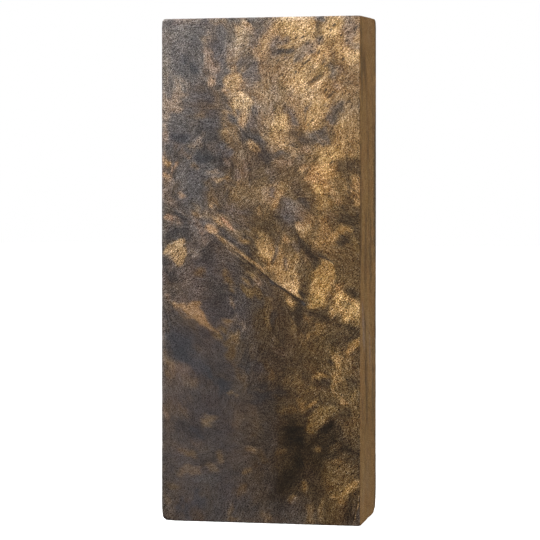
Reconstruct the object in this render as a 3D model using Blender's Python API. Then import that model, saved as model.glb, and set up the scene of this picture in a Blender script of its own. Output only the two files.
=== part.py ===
"""A stabilized walnut block: one sawn piece of wood, standing on its foot end.

Metres, +Z up. The origin is at the middle of the foot end's outline. The figured broad face
looks along -Y, the narrow side faces along +X and -X, and the block's length runs up Z.
"""

import math

import bmesh
import bpy
from mathutils import Vector, noise

# The sawn size: a block of 5 by 2 by 1 inches, cut a little out of square
HEIGHT = 0.127
THICKNESS = 0.0254
FOOT_WIDTH = 0.0510
TOP_WIDTH = 0.0503
TOP_FALL = 0.0004

# Wear along every edge: its usual radius, how much that varies, and over what length
EDGE_RADIUS = 0.00022
EDGE_UNEVEN = 0.45
EDGE_WAVE = 0.004

# The radius that each corner is worn to. Signs say which end of X, Y and Z it is at
CORNER_RADIUS = {
    (-1, -1, 1): 0.0009,
    (-1, -1, -1): 0.0015,
    (1, -1, 1): 0.0004,
    (1, -1, -1): 0.0005,
    (1, 1, 1): 0.0010,
    (1, 1, -1): 0.0019,
    (-1, 1, 1): 0.0008,
    (-1, 1, -1): 0.0012,
}
CORNER_REACH = 2.6

# Where the faces are divided: close together by the edges, then evenly across the middle
EDGE_STOPS = (0.00008, 0.00022, 0.00048, 0.00095, 0.0019)
MIDDLE_SPACING = 0.006

# A hairline check in the front face by the lower right corner: distance in from the right
# side, and height above the foot
CHECK_ROUTE = [(0.0006, 0.0076), (0.0010, 0.0042), (0.0019, 0.0011)]
CHECK_WIDTHS = (0.00012, 0.00022, 0.00014)
CHECK_DEPTH = 0.00035
CHECK_STANDOFF = 0.00010

# The wood's plain colour where no figure is drawn
WOOD_COLOR = (0.141, 0.100, 0.065, 1.0)
WOOD_ROUGHNESS = 0.5
SHARP_ANGLE = math.radians(50.0)


def clear_scene():
    """Empties the file of objects, so that the block is all it holds."""
    for old in list(bpy.data.objects):
        bpy.data.objects.remove(old)


def walnut_material():
    """The wood itself: a matte, resin-filled brown."""
    material = bpy.data.materials.new("walnut")
    material.use_nodes = True
    shader = material.node_tree.nodes["Principled BSDF"]
    shader.inputs["Base Color"].default_value = WOOD_COLOR
    shader.inputs["Roughness"].default_value = WOOD_ROUGHNESS
    shader.inputs["Metallic"].default_value = 0.0
    return material


def stops(length):
    """Where a length is divided: its edge stops at both ends, and even ones between."""
    inset = EDGE_STOPS[-1]
    spans = round((length - 2 * inset) / MIDDLE_SPACING)
    middle = [inset + (length - 2 * inset) * step / spans for step in range(1, spans)]
    far = [length - stop for stop in reversed(EDGE_STOPS)]
    return [stop - length / 2 for stop in (*EDGE_STOPS, *middle, *far)]


def divided_block(size):
    """A square block centred on the origin, with every face divided at the stops."""
    bm = bmesh.new()
    bmesh.ops.create_cube(bm, size=1.0)
    bmesh.ops.scale(bm, vec=size, verts=bm.verts)
    for axis in range(3):
        normal = Vector((0.0, 0.0, 0.0))
        normal[axis] = 1.0
        for stop in stops(size[axis]):
            bmesh.ops.bisect_plane(
                bm,
                geom=[*bm.verts, *bm.edges, *bm.faces],
                dist=1e-7,
                plane_co=normal * stop,
                plane_no=normal,
            )
    return bm


def wear_radius(point, half):
    """How round the block is worn near a point: uneven along the edges, more at corners."""
    uneven = noise.noise(point / EDGE_WAVE)
    radius = EDGE_RADIUS * (1.0 + EDGE_UNEVEN * uneven)
    for ends, corner_radius in CORNER_RADIUS.items():
        corner = Vector(end * size for end, size in zip(ends, half))
        near = 1.0 - (point - corner).length / (CORNER_REACH * corner_radius)
        if near > 0.0:
            blend = near * near * (3.0 - 2.0 * near)
            radius += (corner_radius - radius) * blend
    return radius


def worn(point, half):
    """Where a point of the square block ends up once its edges and corners are worn."""
    radius = wear_radius(point, half)
    inner = Vector(max(radius - h, min(h - radius, c)) for c, h in zip(point, half))
    outward = point - inner
    if outward.length < 1e-9:
        return point
    return inner + outward.normalized() * radius


def out_of_square(point, size):
    """Stands the block on its foot, narrows its top, and lets the top fall to the left."""
    up = point.z / size.z + 0.5
    across = 0.5 - point.x / size.x
    width = FOOT_WIDTH + (TOP_WIDTH - FOOT_WIDTH) * up
    return Vector(
        (
            FOOT_WIDTH / 2 - width * across,
            point.y,
            up * (HEIGHT - TOP_FALL * across),
        )
    )


def worn_blank():
    """The sawn block with its worn edges and corners."""
    size = Vector((FOOT_WIDTH, THICKNESS, HEIGHT))
    half = size / 2
    bm = divided_block(size)
    for vertex in bm.verts:
        vertex.co = out_of_square(worn(vertex.co, half), size)
    return bm


def linked_object(name, bm):
    """Puts a bmesh into an object of its own, in the scene."""
    bmesh.ops.recalc_face_normals(bm, faces=bm.faces)
    mesh = bpy.data.meshes.new(name)
    bm.to_mesh(mesh)
    bm.free()
    made = bpy.data.objects.new(name, mesh)
    bpy.context.scene.collection.objects.link(made)
    return made


def check_cutter():
    """A slim wedge along the hairline check, standing a little proud of the front face."""
    bm = bmesh.new()
    front = -THICKNESS / 2
    sections = []
    for (inset, height), width in zip(CHECK_ROUTE, CHECK_WIDTHS):
        middle = FOOT_WIDTH / 2 - inset
        lips = (middle - width / 2, middle + width / 2)
        section = [bm.verts.new((x, front - CHECK_STANDOFF, height)) for x in lips]
        section.append(bm.verts.new((middle, front + CHECK_DEPTH, height)))
        sections.append(section)
    bm.faces.new(sections[0])
    bm.faces.new(sections[-1])
    for above, below in zip(sections, sections[1:]):
        for side in range(3):
            following = (side + 1) % 3
            bm.faces.new((above[side], above[following], below[following], below[side]))
    cutter = linked_object("check_cutter", bm)
    cutter.hide_render = True
    cutter.display_type = "WIRE"
    return cutter


def cut_check(block):
    """Takes the hairline check out of the block, then removes the cutter."""
    cutter = check_cutter()
    boolean = block.modifiers.new("check", "BOOLEAN")
    boolean.operation = "DIFFERENCE"
    boolean.object = cutter
    boolean.solver = "EXACT"
    graph = bpy.context.evaluated_depsgraph_get()
    carved = bpy.data.meshes.new_from_object(block.evaluated_get(graph))
    block.modifiers.clear()
    plain = block.data
    block.data = carved
    bpy.data.meshes.remove(plain)
    bpy.data.objects.remove(cutter)


def walnut_block():
    """The whole object: one solid with its worn edges and corners, and its check."""
    block = linked_object("walnut_block", worn_blank())
    cut_check(block)
    block.data.materials.clear()
    block.data.materials.append(walnut_material())
    block.data.shade_smooth()
    block.data.set_sharp_from_angle(angle=SHARP_ANGLE)
    return block


def main():
    """Builds the block in an empty scene."""
    clear_scene()
    walnut_block()


main()
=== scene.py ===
import math
from typing import NamedTuple

import bmesh
import bpy
import numpy as np
from mathutils import Euler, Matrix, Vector


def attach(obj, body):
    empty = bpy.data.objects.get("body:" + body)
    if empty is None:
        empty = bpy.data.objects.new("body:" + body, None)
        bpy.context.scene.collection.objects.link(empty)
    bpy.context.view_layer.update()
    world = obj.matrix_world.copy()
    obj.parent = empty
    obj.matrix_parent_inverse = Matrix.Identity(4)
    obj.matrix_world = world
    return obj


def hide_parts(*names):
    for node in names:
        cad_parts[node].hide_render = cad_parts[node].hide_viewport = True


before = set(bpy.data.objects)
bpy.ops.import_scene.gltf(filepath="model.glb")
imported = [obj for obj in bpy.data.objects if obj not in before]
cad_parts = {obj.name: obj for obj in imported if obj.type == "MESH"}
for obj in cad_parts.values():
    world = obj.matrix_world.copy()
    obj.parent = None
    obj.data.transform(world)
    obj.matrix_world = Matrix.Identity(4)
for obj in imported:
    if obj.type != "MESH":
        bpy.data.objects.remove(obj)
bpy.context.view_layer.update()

bl_info = {
    "name": "Walnut Block",
    "version": (1, 0, 0),
    "blender": (4, 5, 0),
    "location": "3D View > Sidebar > Walnut Block",
    "description": "A stabilized burl walnut block with a hand-drawn figure and worn edges",
    "category": "Add Mesh",
}

# The block's size as it was modelled, in metres
WIDTH, THICKNESS, HEIGHT = 0.0510, 0.0254, 0.127
HALF = Vector((WIDTH, THICKNESS, HEIGHT)) / 2
TOP_WIDTH = 0.0503
TOP_FALL = 0.0004
MM = 0.001

# The figure is drawn on a sheet in millimetres: across from the left edge, up from the foot
SHEET_WIDTH = 50.8
SHEET_HEIGHT = 127.0

# Wood tones: how light, how warm against grey (below nought bluish, above one yellower), and
# how much red (below nought, green)
TONES = {
    "ink": (0.09, -0.15, 0.0),
    "char": (0.15, 0.5, 0.0),
    "slate": (0.27, 0.0, 0.0),
    "smoke": (0.36, 0.15, 0.0),
    "steel": (0.43, -0.1, 0.0),
    "haze": (0.50, 0.25, 0.05),
    "plum": (0.22, 0.35, 0.1),
    "mauve": (0.36, 0.35, 0.25),
    "soot": (0.07, 0.90, 0.0),
    "umber": (0.16, 0.85, 0.0),
    "bark": (0.26, 0.80, 0.0),
    "cocoa": (0.34, 0.90, 0.0),
    "chestnut": (0.38, 1.0, 0.15),
    "walnut": (0.42, 0.90, 0.0),
    "olive": (0.44, 0.90, -0.2),
    "moss": (0.54, 1.0, -0.25),
    "sage": (0.52, 0.55, -0.25),
    "rose": (0.46, 0.35, 0.3),
    "dusk": (0.60, 0.35, 0.25),
    "blush": (0.58, 0.45, 0.45),
    "coral": (0.66, 0.60, 0.7),
    "tan": (0.54, 0.80, 0.0),
    "amber": (0.58, 1.0, 0.1),
    "peach": (0.72, 0.70, 0.3),
    "apricot": (0.72, 1.0, 0.3),
    "buff": (0.64, 0.80, 0.0),
    "gold": (0.70, 1.0, 0.0),
    "honey": (0.77, 1.0, 0.0),
    "straw": (0.80, 0.80, 0.0),
    "cream": (0.90, 0.55, 0.05),
}
GROUND_TONE = (0.26, 0.55, 0.0)

# What each lightness looks like, in 0 to 255 red, green and blue: grey wood, and warm wood
GREY_WOOD = {
    0.0: (48, 48, 52),
    0.2: (70, 66, 67),
    0.4: (98, 90, 85),
    0.6: (134, 118, 102),
    0.8: (172, 149, 121),
    1.0: (214, 191, 160),
}
WARM_WOOD = {
    0.0: (28, 20, 12),
    0.2: (62, 46, 28),
    0.4: (101, 76, 43),
    0.6: (144, 109, 63),
    0.8: (185, 147, 94),
    1.0: (224, 192, 144),
}

# What each tint multiplies the wood's colour by
RED_TINT = (1.22, 0.95, 0.97)
GREEN_TINT = (0.86, 1.02, 0.84)
COOL_TINT = (0.93, 1.0, 1.10)
HOT_TINT = (1.06, 1.0, 0.66)

# The fine grain is added as plain grey, evenly to the eye: how strong it is in all, how much
# stronger pale wood makes it, how strong it is in the darkest, and the darkest that it leaves
SCREEN_GAMMA = 2.2
GRAIN_STRENGTH = 0.72
PALE_GRAIN = 0.9
DARK_GRAIN = 0.16
DARKEST = (0.07, 0.06, 0.05)

# The grain's noise is turned, because it fades on any face that lies along its own grid. The
# pit lift gives back evenly what its dark dots and pores take away
NOISE_TURN = (0.5, 0.7, 0.3)
PIT_LIFT = 0.03

# How close each noise's lumps are, per metre, and where the dots' noise turns dark
MOTTLE_SCALE = 700.0
SPECKLE_SCALE = 6200.0
DOT_SCALE = 4700.0
DOT_RANGE = (0.62, 0.72)

# How much rougher or smoother the mottling makes the wood, and how much of the bump is used
ROUGHNESS_MOTTLE = 0.25
BUMP_STRENGTH = 0.5

# How soft a touch's border is where it doesn't say: a share of its width, and so much more
SOFT_SHARE = 0.8
SOFT_LEAST = 0.25


class Mark(NamedTuple):
    """A touch of one tone along a route on the sheet, or filling it where it is closed."""

    tone: str
    width: float
    soft: float
    route: tuple
    strength: float = 1.0
    closed: bool = False


def touch(tone, width, *routes, soft=None, strength=1.0):
    """Streaks or patches: as wide as they say in the middle, and tapered to their ends."""
    soft = SOFT_SHARE * width + SOFT_LEAST if soft is None else soft
    return [Mark(tone, width, soft, tuple(route), strength) for route in routes]


def island(tone, *outlines, soft=0.8, strength=1.0):
    """Patches with their own outlines."""
    return [Mark(tone, 0.0, soft, tuple(outline), strength, True) for outline in outlines]


def eased(marks, share):
    """The same marks, more faintly."""
    return [mark._replace(strength=mark.strength * share) for mark in marks]


def in_order(*groups):
    """Groups of marks as one list, with the first drawn lowest."""
    return [mark for group in groups for mark in group]


# The broad washes that everything else is drawn on
WASHES = in_order(
    # The grey washes at the top left are partly the wood's grey and partly painted sheen
    touch("steel", 12, [(3, 126), (5, 112)], soft=7),
    touch("smoke", 9, [(10, 120), (9, 108)], soft=7),
    touch("tan", 5, [(12.4, 124), (12.4, 112)], soft=4, strength=0.6),
    touch("slate", 3.6, [(15.8, 125), (15.4, 111)], soft=3, strength=0.8),
    touch("buff", 6, [(20.4, 127), (19.4, 112), (20.4, 102)], soft=5),
    touch("cocoa", 4, [(23.8, 125), (23, 112)], soft=3.5),
    touch("tan", 12, [(28, 127), (28, 100)], soft=6),
    touch("walnut", 8, [(28, 115), (29, 103)], soft=6, strength=0.5),
    touch("straw", 11, [(35, 126), (38, 122)], soft=7),
    touch("buff", 12, [(35, 118), (38, 106)], soft=6),
    touch("gold", 8, [(44, 126), (43, 119)], soft=5),
    touch("haze", 5, [(48.4, 126), (48.6, 119)], soft=4, strength=0.8),
    touch("buff", 6, [(48, 118), (50, 115)], soft=4),
    touch("walnut", 11, [(47, 112), (47, 104)], soft=5),
    touch("tan", 9, [(47, 101), (48.6, 94)], soft=5),
    touch("gold", 8, [(40, 104), (38, 99)], soft=5),
    touch("cocoa", 7, [(35.6, 97), (42.6, 95.4)], soft=4),
    touch("gold", 10, [(44, 93), (40, 86)], soft=6),
    touch("bark", 7, [(47, 90), (50.8, 87)], soft=4),
    touch("cocoa", 10, [(34, 90), (33, 85)], soft=6),
    touch("dusk", 6, [(4.6, 111), (2.4, 104), (0.4, 98)], soft=4),
    touch("bark", 10, [(11, 107), (12, 101)], soft=5, strength=0.8),
    touch("slate", 10, [(4, 99), (4, 92)], soft=6),
    touch("slate", 11, [(12, 99), (13, 90)], soft=6),
    touch("walnut", 6, [(17.6, 102), (18.2, 93)], soft=4),
    touch("bark", 7, [(23, 98), (27, 92)], soft=4),
    touch("tan", 8, [(30, 102), (30, 94)], soft=5),
    touch("cocoa", 12, [(22, 90), (22, 84)], soft=6),
    touch("rose", 4, [(1, 92), (1.2, 84)], soft=3, strength=0.7),
    touch("slate", 9, [(7, 90), (8, 81)], soft=5),
    touch("walnut", 9, [(20, 84), (28, 82)], soft=5),
    touch("walnut", 8, [(41, 83), (43, 76)], soft=5),
    touch("bark", 6, [(48, 80), (48, 76)], soft=4),
    touch("tan", 7, [(28, 83), (27, 78)], soft=4),
    touch("mauve", 8, [(33, 78), (36, 80)], soft=5),
    touch("smoke", 8, [(8, 78), (11, 72)], soft=5),
    touch("tan", 5, [(13, 78), (20, 71)], soft=3, strength=0.6),
    touch("cocoa", 8, [(21, 78), (29, 74)], soft=4),
    touch("buff", 5, [(26, 71), (28, 66)], soft=3),
    touch("walnut", 9, [(36, 74), (35, 66)], soft=5),
    touch("amber", 8, [(41, 74), (44, 69)], soft=5, strength=0.8),
    touch("cocoa", 9, [(48, 70), (48, 60)], soft=5),
    touch("buff", 7, [(31, 66), (33, 60)], soft=4),
    touch("cocoa", 5, [(38, 67), (37, 58)], soft=3),
    touch("gold", 6, [(42, 64), (39.6, 56)], soft=3),
    touch("buff", 6, [(45, 57), (50, 53)], soft=4),
    touch("plum", 17, [(14, 66), (18, 54)], soft=6),
    touch("plum", 12, [(24, 59), (26, 48)], soft=6),
    touch("mauve", 9, [(5, 63), (8, 58)], soft=5, strength=0.8),
    touch("ink", 7, [(3.6, 46.6), (6.2, 42)], soft=6, strength=0.85),
    touch("plum", 10, [(13, 46), (13, 40)], soft=6),
    touch("bark", 9, [(27, 52), (30, 44)], soft=5),
    touch("cocoa", 10, [(41, 47), (43, 34)], soft=6),
    touch("walnut", 7, [(47, 44), (47, 30)], soft=5),
    touch("bark", 12, [(34, 44), (34, 32)], soft=6),
    touch("mauve", 8, [(2, 38), (5, 31)], soft=5, strength=0.7),
    touch("plum", 16, [(12, 34), (12, 26)], soft=8),
    touch("bark", 12, [(25, 40), (24, 20)], soft=8, strength=0.6),
    touch("plum", 22, [(10, 20), (12, 6)], soft=9),
    touch("soot", 7, [(34, 26), (36, 18), (31, 8)], soft=6, strength=0.65),
    touch("bark", 10, [(27, 20), (27, 10)], soft=6, strength=0.6),
    touch("walnut", 7, [(48.6, 33), (49, 22)], soft=5),
    touch("umber", 7, [(42.6, 23), (41, 15)], soft=5),
    touch("walnut", 9, [(46, 14), (45, 8)], soft=5),
    touch("bark", 8, [(38, 8), (40, 1)], soft=5),
    touch("cocoa", 6, [(44, 6), (43, 0)], soft=4),
)

# Top left: blue-grey, partly painted sheen, with rosy streaks and the tan column beside its dark shadow
TOP_LEFT = in_order(
    touch("slate", 2.2, [(1.6, 125.9), (3.6, 125.9)], [(8.4, 122.6), (8.6, 120.2)]),
    touch("rose", 2, [(4, 126), (6.2, 126.2)]),
    touch("haze", 1.8, [(6.8, 126.2), (10.8, 126)], [(0.8, 111.8), (1.2, 110.4)]),
    touch("tan", 2.4, [(13.4, 126.4), (15.6, 126)], [(10.6, 122.3), (12.8, 122.2)]),
    touch("sage", 1.8, [(1.8, 123.6), (2, 121.4)], strength=0.6),
    touch("bark", 1.9, [(17.6, 124.8), (17.4, 121.2)], [(13.8, 123), (13.8, 119)]),
    touch("plum", 2, [(12.8, 119.7), (14.6, 119.6)]),
    touch("slate", 1.9, [(15.4, 118.8), (15.6, 116.6)], [(16.8, 114.8), (16.6, 112.8)]),
    touch("tan", 1.8, [(0.9, 117.8), (1, 113.4)], strength=0.6),
    touch("slate", 2.6, [(5.8, 117.6), (7, 117)], [(5.2, 113.8), (7.8, 113.2)]),
    touch("ink", 1.8, [(7.8, 115.2), (8.8, 114.2)], strength=0.8),
    touch("smoke", 3, [(9, 118.6), (9.6, 116.8)]),
    touch("bark", 1.2, [(11.4, 114.8), (12, 112.6)]),
    touch("dusk", 2, [(11.2, 118.4), (12.4, 117.2)], [(12.2, 116.6), (13.4, 115)],
          [(15.4, 114.6), (14.2, 113.2), (12.8, 110.2)]),
    touch("bark", 0.6, [(12.2, 118.2), (14.2, 115.4)]),
    touch("peach", 1.5, [(13.2, 111.6), (12.4, 109.8)]),
    touch("tan", 3, [(18.4, 119), (18, 115.4)]),
    touch("buff", 3.2, [(20.6, 126), (21.2, 123.6), (20.2, 120.6)]),
    touch("straw", 1.5, [(21, 126.2), (22.6, 125.4)], strength=0.6),
    touch("peach", 1.8, [(21.8, 125.2), (23.2, 124.2)], strength=0.7),
    touch("mauve", 2.4, [(24.4, 123), (23.2, 120)]),
    touch("bark", 3, [(21.8, 118.6), (21.4, 115.4)]),
    touch("slate", 4.2, [(22.8, 115), (23.2, 110.6)], strength=0.7),
    island("gold", [(15.8, 110.6), (16.6, 112.4), (18.4, 113), (20.2, 112.4), (20.9, 110.6),
                    (19.9, 108.8), (18.8, 107.9), (17.2, 108.8)]),
    touch("straw", 2.2, [(16.8, 111.4), (18.8, 110.6)]),
    touch("peach", 1.1, [(16.2, 109.8), (16.9, 108.6)]),
    touch("straw", 1.7, [(17.5, 106.9), (18.5, 105.5), (19.6, 104.2)]),
    touch("dusk", 3, [(4.9, 109.8), (4.4, 107.6), (3, 105.4)], strength=0.9),
    touch("smoke", 1.5, [(2.2, 111.6), (2.1, 107.2)]),
    touch("bark", 3, [(9.4, 110.6), (11.2, 108.8)]),
    touch("plum", 2.4, [(10.4, 107.4), (12.6, 107)]),
    touch("cocoa", 2, [(13.8, 108.4), (14.8, 106.8)]),
    touch("smoke", 2, [(8.2, 107.8), (8.8, 106.2)]),
)

# Top right: gold with slanting fibres, dark dashes and mauve shadows
TOP_RIGHT = in_order(
    touch("mauve", 2.4, [(25.4, 125.8), (28, 126)], [(26, 124.6), (27, 123)], strength=0.8),
    touch("gold", 2.4, [(26.4, 120.2), (28.3, 122.4), (29.2, 124.6)]),
    touch("moss", 3, [(30.4, 124), (32.6, 124.6)], [(31, 122.2), (32.4, 121.6)], strength=0.7),
    touch("mauve", 2, [(28.6, 120.4), (31.6, 120.8)]),
    touch("honey", 3, [(33.2, 124.6), (35.4, 122.6), (38, 124.4)]),
    touch("bark", 1.4, [(29, 119), (30.4, 118.2)]),
    touch("dusk", 1.6, [(28.6, 118.4), (30, 117.4)], strength=0.7),
    touch("smoke", 2.6, [(33.8, 117.4), (35, 116.9)], [(36.8, 119), (38.8, 118.8)], strength=0.75),
    touch("plum", 1.3, [(37.2, 117.2), (39.2, 118.2)], [(39.6, 121.4), (41.4, 121)]),
    touch("rose", 1.8, [(38.2, 119.6), (40.2, 121)]),
    touch("slate", 2, [(40.2, 126.6), (41.8, 126)]),
    touch("olive", 2, [(40.4, 124.8), (40.2, 122.8)]),
    touch("bark", 1, [(39.8, 125.6), (40.6, 122.6)]),
    touch("walnut", 1.8, [(41.6, 120.6), (44.4, 120.8)]),
    touch("gold", 3.4, [(42.6, 122.6), (44.4, 125.2)], [(45, 123.4), (46, 120.4)]),
    touch("honey", 1.8, [(43, 123.8), (44.4, 122.8)]),
    touch("mauve", 2.6, [(47.4, 126.4), (47.8, 123.6), (47.4, 120.4)]),
    touch("haze", 2, [(48.6, 125), (48.8, 122.8)], [(48.6, 119.6), (50.4, 119.2)]),
    touch("buff", 1.5, [(50.2, 124.8), (50, 120.6)], [(49.6, 126.4), (50.8, 125.6)]),
    touch("straw", 2.4, [(47, 117.4), (48.6, 116.4)], strength=0.8),
    touch("gold", 2, [(49.6, 117.4), (50.4, 115.6)]),
    touch("bark", 2, [(43.4, 119), (44, 115.6), (43.4, 112.6)]),
    touch("slate", 1.6, [(43, 115.4), (43.6, 112.8)], strength=0.8),
    touch("gold", 2.8, [(39.6, 115.4), (41.2, 117.6), (41.8, 119.2)]),
    touch("tan", 2, [(37.2, 113), (42, 114.6)]),
    touch("gold", 3.4, [(34, 113), (35, 110), (36.6, 108)]),
    touch("honey", 2.2, [(35.4, 112.6), (35.6, 110), (36.8, 108)]),
    touch("dusk", 1.8, [(29.6, 112), (29, 108.6), (30.4, 105.8)], strength=0.8),
    touch("olive", 1.9, [(30.4, 110.2), (31.8, 107.6)]),
    touch("olive", 1.6, [(41, 113.4), (38.6, 112.6)]),
    touch("rose", 1.4, [(44.4, 110), (45.8, 109)]),
    touch("bark", 1.8, [(46, 112), (47, 109.6)], strength=0.8),
    touch("mauve", 1.4, [(45.4, 113.8), (46.8, 112.8)]),
)

# Upper left: rosy tan at the edge, slate pools, and tan stripes that fall to the right
UPPER_LEFT = in_order(
    touch("dusk", 3, [(1.4, 104.6), (4.8, 104.8)], strength=0.8),
    touch("dusk", 1.5, [(1.6, 104.4), (1, 100.6), (0.6, 97.4)]),
    touch("smoke", 2.4, [(6, 105.4), (7, 103.4)], [(3, 102), (8, 101.2)]),
    touch("walnut", 1.8, [(9, 102.4), (11.8, 102.8)], [(12.4, 105), (14.6, 105)]),
    touch("plum", 2, [(12.4, 103), (14.4, 103.4)], [(17.4, 105), (17.6, 103.4)]),
    touch("buff", 1.3, [(15.4, 103.2), (16.6, 102.9)]),
    touch("slate", 1.6, [(17.8, 102), (19, 101.4)]),
    touch("straw", 2.2, [(18.4, 105), (19.4, 104)]),
    touch("buff", 2.6, [(21.8, 105.2), (21.6, 101.6)]),
    touch("straw", 1.5, [(22.2, 105.4), (21.4, 104.6)]),
    touch("peach", 1.5, [(21.4, 101.6), (20.8, 99.6)]),
    touch("plum", 1.2, [(19.9, 104), (20.2, 102.8)], [(23.6, 104.6), (24, 102.8)], strength=0.7),
    touch("mauve", 1.8, [(23, 101.6), (23.8, 99.8)]),
    touch("plum", 2.8, [(20.8, 98.4), (23.2, 97.2), (25.6, 96)]),
    touch("char", 0.7, [(20.4, 99), (22, 97.8), (23.4, 96.8), (25.4, 96)]),
    touch("gold", 1.8, [(22.8, 95.8), (24.4, 94.4), (25.2, 93.6)], strength=0.9),
    touch("char", 3.8, [(10.4, 99), (13, 97)], [(13.6, 91.2), (16, 90.8)], strength=0.8),
    touch("char", 4.6, [(10.8, 94), (14, 92.8)], strength=0.65),
    touch("ink", 2.4, [(4, 96.8), (6, 96.6)], [(10, 92), (11.4, 91.6)], strength=0.9),
    touch("char", 2.2, [(3.6, 94.6), (4.8, 91.8)], [(1.4, 89.2), (2.6, 89.2)], strength=0.9),
    touch("dusk", 1.7, [(7.2, 92.4), (8.4, 94.8), (10.6, 97.8)], strength=0.8),
    touch("tan", 1.5, [(6.8, 95), (8.6, 94.8)], [(7.4, 90.6), (9, 89.8)], strength=0.7),
    touch("mauve", 2.2, [(12.4, 95), (14.6, 94.2)], [(3.2, 95), (4.4, 94.9)], strength=0.8),
    touch("rose", 1.6, [(0.5, 98.6), (0.6, 92.6)], [(5.2, 93.4), (7, 92.2)]),
    touch("amber", 1.5, [(0.4, 91.2), (2.2, 90.8)], [(0.6, 87.8), (1.6, 87.4)]),
    touch("coral", 0.9, [(4.2, 91), (3.4, 89.6), (2.6, 88.4)], strength=0.8),
    touch("buff", 1.1, [(15.6, 100.8), (16.6, 98.6), (17.8, 96.2)]),
    touch("tan", 1, [(17, 100.8), (18.8, 98), (20.6, 94.8)]),
    touch("slate", 2, [(16.2, 93.8), (17.8, 92.8)]),
    touch("sage", 1.6, [(19.6, 92.8), (21.6, 92.6)]),
    touch("blush", 1.5, [(21.4, 91), (21.8, 88.2)], strength=0.8),
    touch("bark", 3.2, [(24.2, 91.6), (23.8, 87.4)]),
    touch("umber", 1.8, [(18.2, 91), (18.6, 87)]),
    touch("rose", 1, [(19.7, 89.4), (19.5, 86.4)], [(16.4, 91), (17.2, 90.4)]),
    touch("umber", 1.6, [(15.4, 89.3), (16.8, 88.4)]),
    touch("dusk", 1.8, [(12.8, 88.4), (14.8, 88.2)], [(12.8, 86.8), (13.8, 86.4)]),
    touch("buff", 1.8, [(14.2, 85.8), (15.6, 86.4), (16.8, 87)]),
    touch("steel", 2.8, [(5.6, 89), (5.4, 85.6)], strength=0.5),
    touch("haze", 2.4, [(1, 86), (3.6, 85.6)], strength=0.8),
    touch("cocoa", 1.8, [(11.2, 86.4), (12.6, 84.8)]),
    touch("char", 1.4, [(17.4, 85.6), (18.8, 85)], strength=0.7),
)

# Upper right: gold that rises to the right, crossed by dark slate and olive
UPPER_RIGHT = in_order(
    touch("sage", 1.8, [(25.2, 105.2), (26.4, 103.6)], strength=0.7),
    touch("dusk", 1.4, [(27.8, 105.6), (29.2, 102.4)], strength=0.8),
    touch("olive", 0.8, [(28.8, 105.6), (30, 102.6)]),
    touch("straw", 2.6, [(29.4, 100.8), (31.4, 100.4)]),
    touch("mauve", 1.7, [(32.2, 105), (33.2, 102.6)]),
    touch("slate", 1.7, [(33.6, 102), (34.6, 100.6)]),
    touch("tan", 2.4, [(34, 105), (36, 103.4)]),
    touch("plum", 0.9, [(38.2, 105.6), (37.2, 103.2), (36.9, 101)]),
    touch("bark", 1.8, [(35.8, 101.6), (36.2, 99.6)], strength=0.6),
    touch("gold", 3.4, [(37.6, 99.6), (39.6, 102), (42, 105.4)]),
    touch("moss", 1.2, [(41.4, 104.6), (42.2, 103.4)]),
    touch("olive", 1.4, [(41.6, 101.6), (40.6, 100.4)]),
    touch("mauve", 1.6, [(42.8, 102.6), (43.8, 100.6)]),
    touch("char", 2.6, [(43.8, 102.6), (44.8, 103.8), (46.2, 105)]),
    touch("gold", 2.2, [(47, 101.4), (45.2, 98.4), (44.4, 95.2)]),
    touch("rose", 1.2, [(47.2, 94), (49.2, 93.8)]),
    touch("gold", 2.8, [(45.4, 94.6), (43, 92), (40.8, 89.8)]),
    touch("apricot", 4.4, [(39, 87.4), (42.4, 86.4)], strength=0.8),
    touch("peach", 2, [(38.2, 87.2), (39.8, 85.2)], [(42.6, 85.4), (43.2, 84.8)]),
    touch("plum", 2.6, [(48.4, 89.8), (50, 88.6)], strength=0.8),
    touch("walnut", 3.4, [(44.6, 86.8), (46, 82.6)], soft=3),
    touch("olive", 2.4, [(49.4, 94), (50, 91.6)], strength=0.8),
    touch("char", 2.2, [(33.8, 97.8), (36, 96.6)], [(36.8, 96), (38, 95.4)], strength=0.8),
    touch("sage", 1.6, [(37.2, 98), (38.8, 97)]),
    touch("slate", 3.2, [(40, 97.4), (43.2, 95.8)]),
    touch("haze", 0.7, [(39.4, 97.8), (40.6, 97), (42, 95.8)]),
    touch("straw", 2.8, [(30.4, 96.6), (32, 95)]),
    touch("buff", 0.9, [(25.6, 98.8), (27, 97.4), (28.4, 96)]),
    touch("char", 1.8, [(25.4, 95.4), (27, 92.8), (27.4, 90.8)], strength=0.9),
    touch("char", 1.2, [(28.4, 92.2), (30.8, 93), (33, 92.4)]),
    touch("buff", 2.4, [(33, 94.4), (34.4, 93.2)]),
    touch("blush", 1.8, [(30, 91.2), (32.8, 90.6)], strength=0.7),
    touch("rose", 1.4, [(27.2, 89), (28.8, 88.2)]),
    touch("straw", 1.1, [(35, 89), (36.8, 89.6)]),
    touch("olive", 2.8, [(36.6, 92.6), (39.6, 91.6)]),
    touch("blush", 1.2, [(36.6, 94.2), (38.2, 92.8)], strength=0.6),
)

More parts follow.
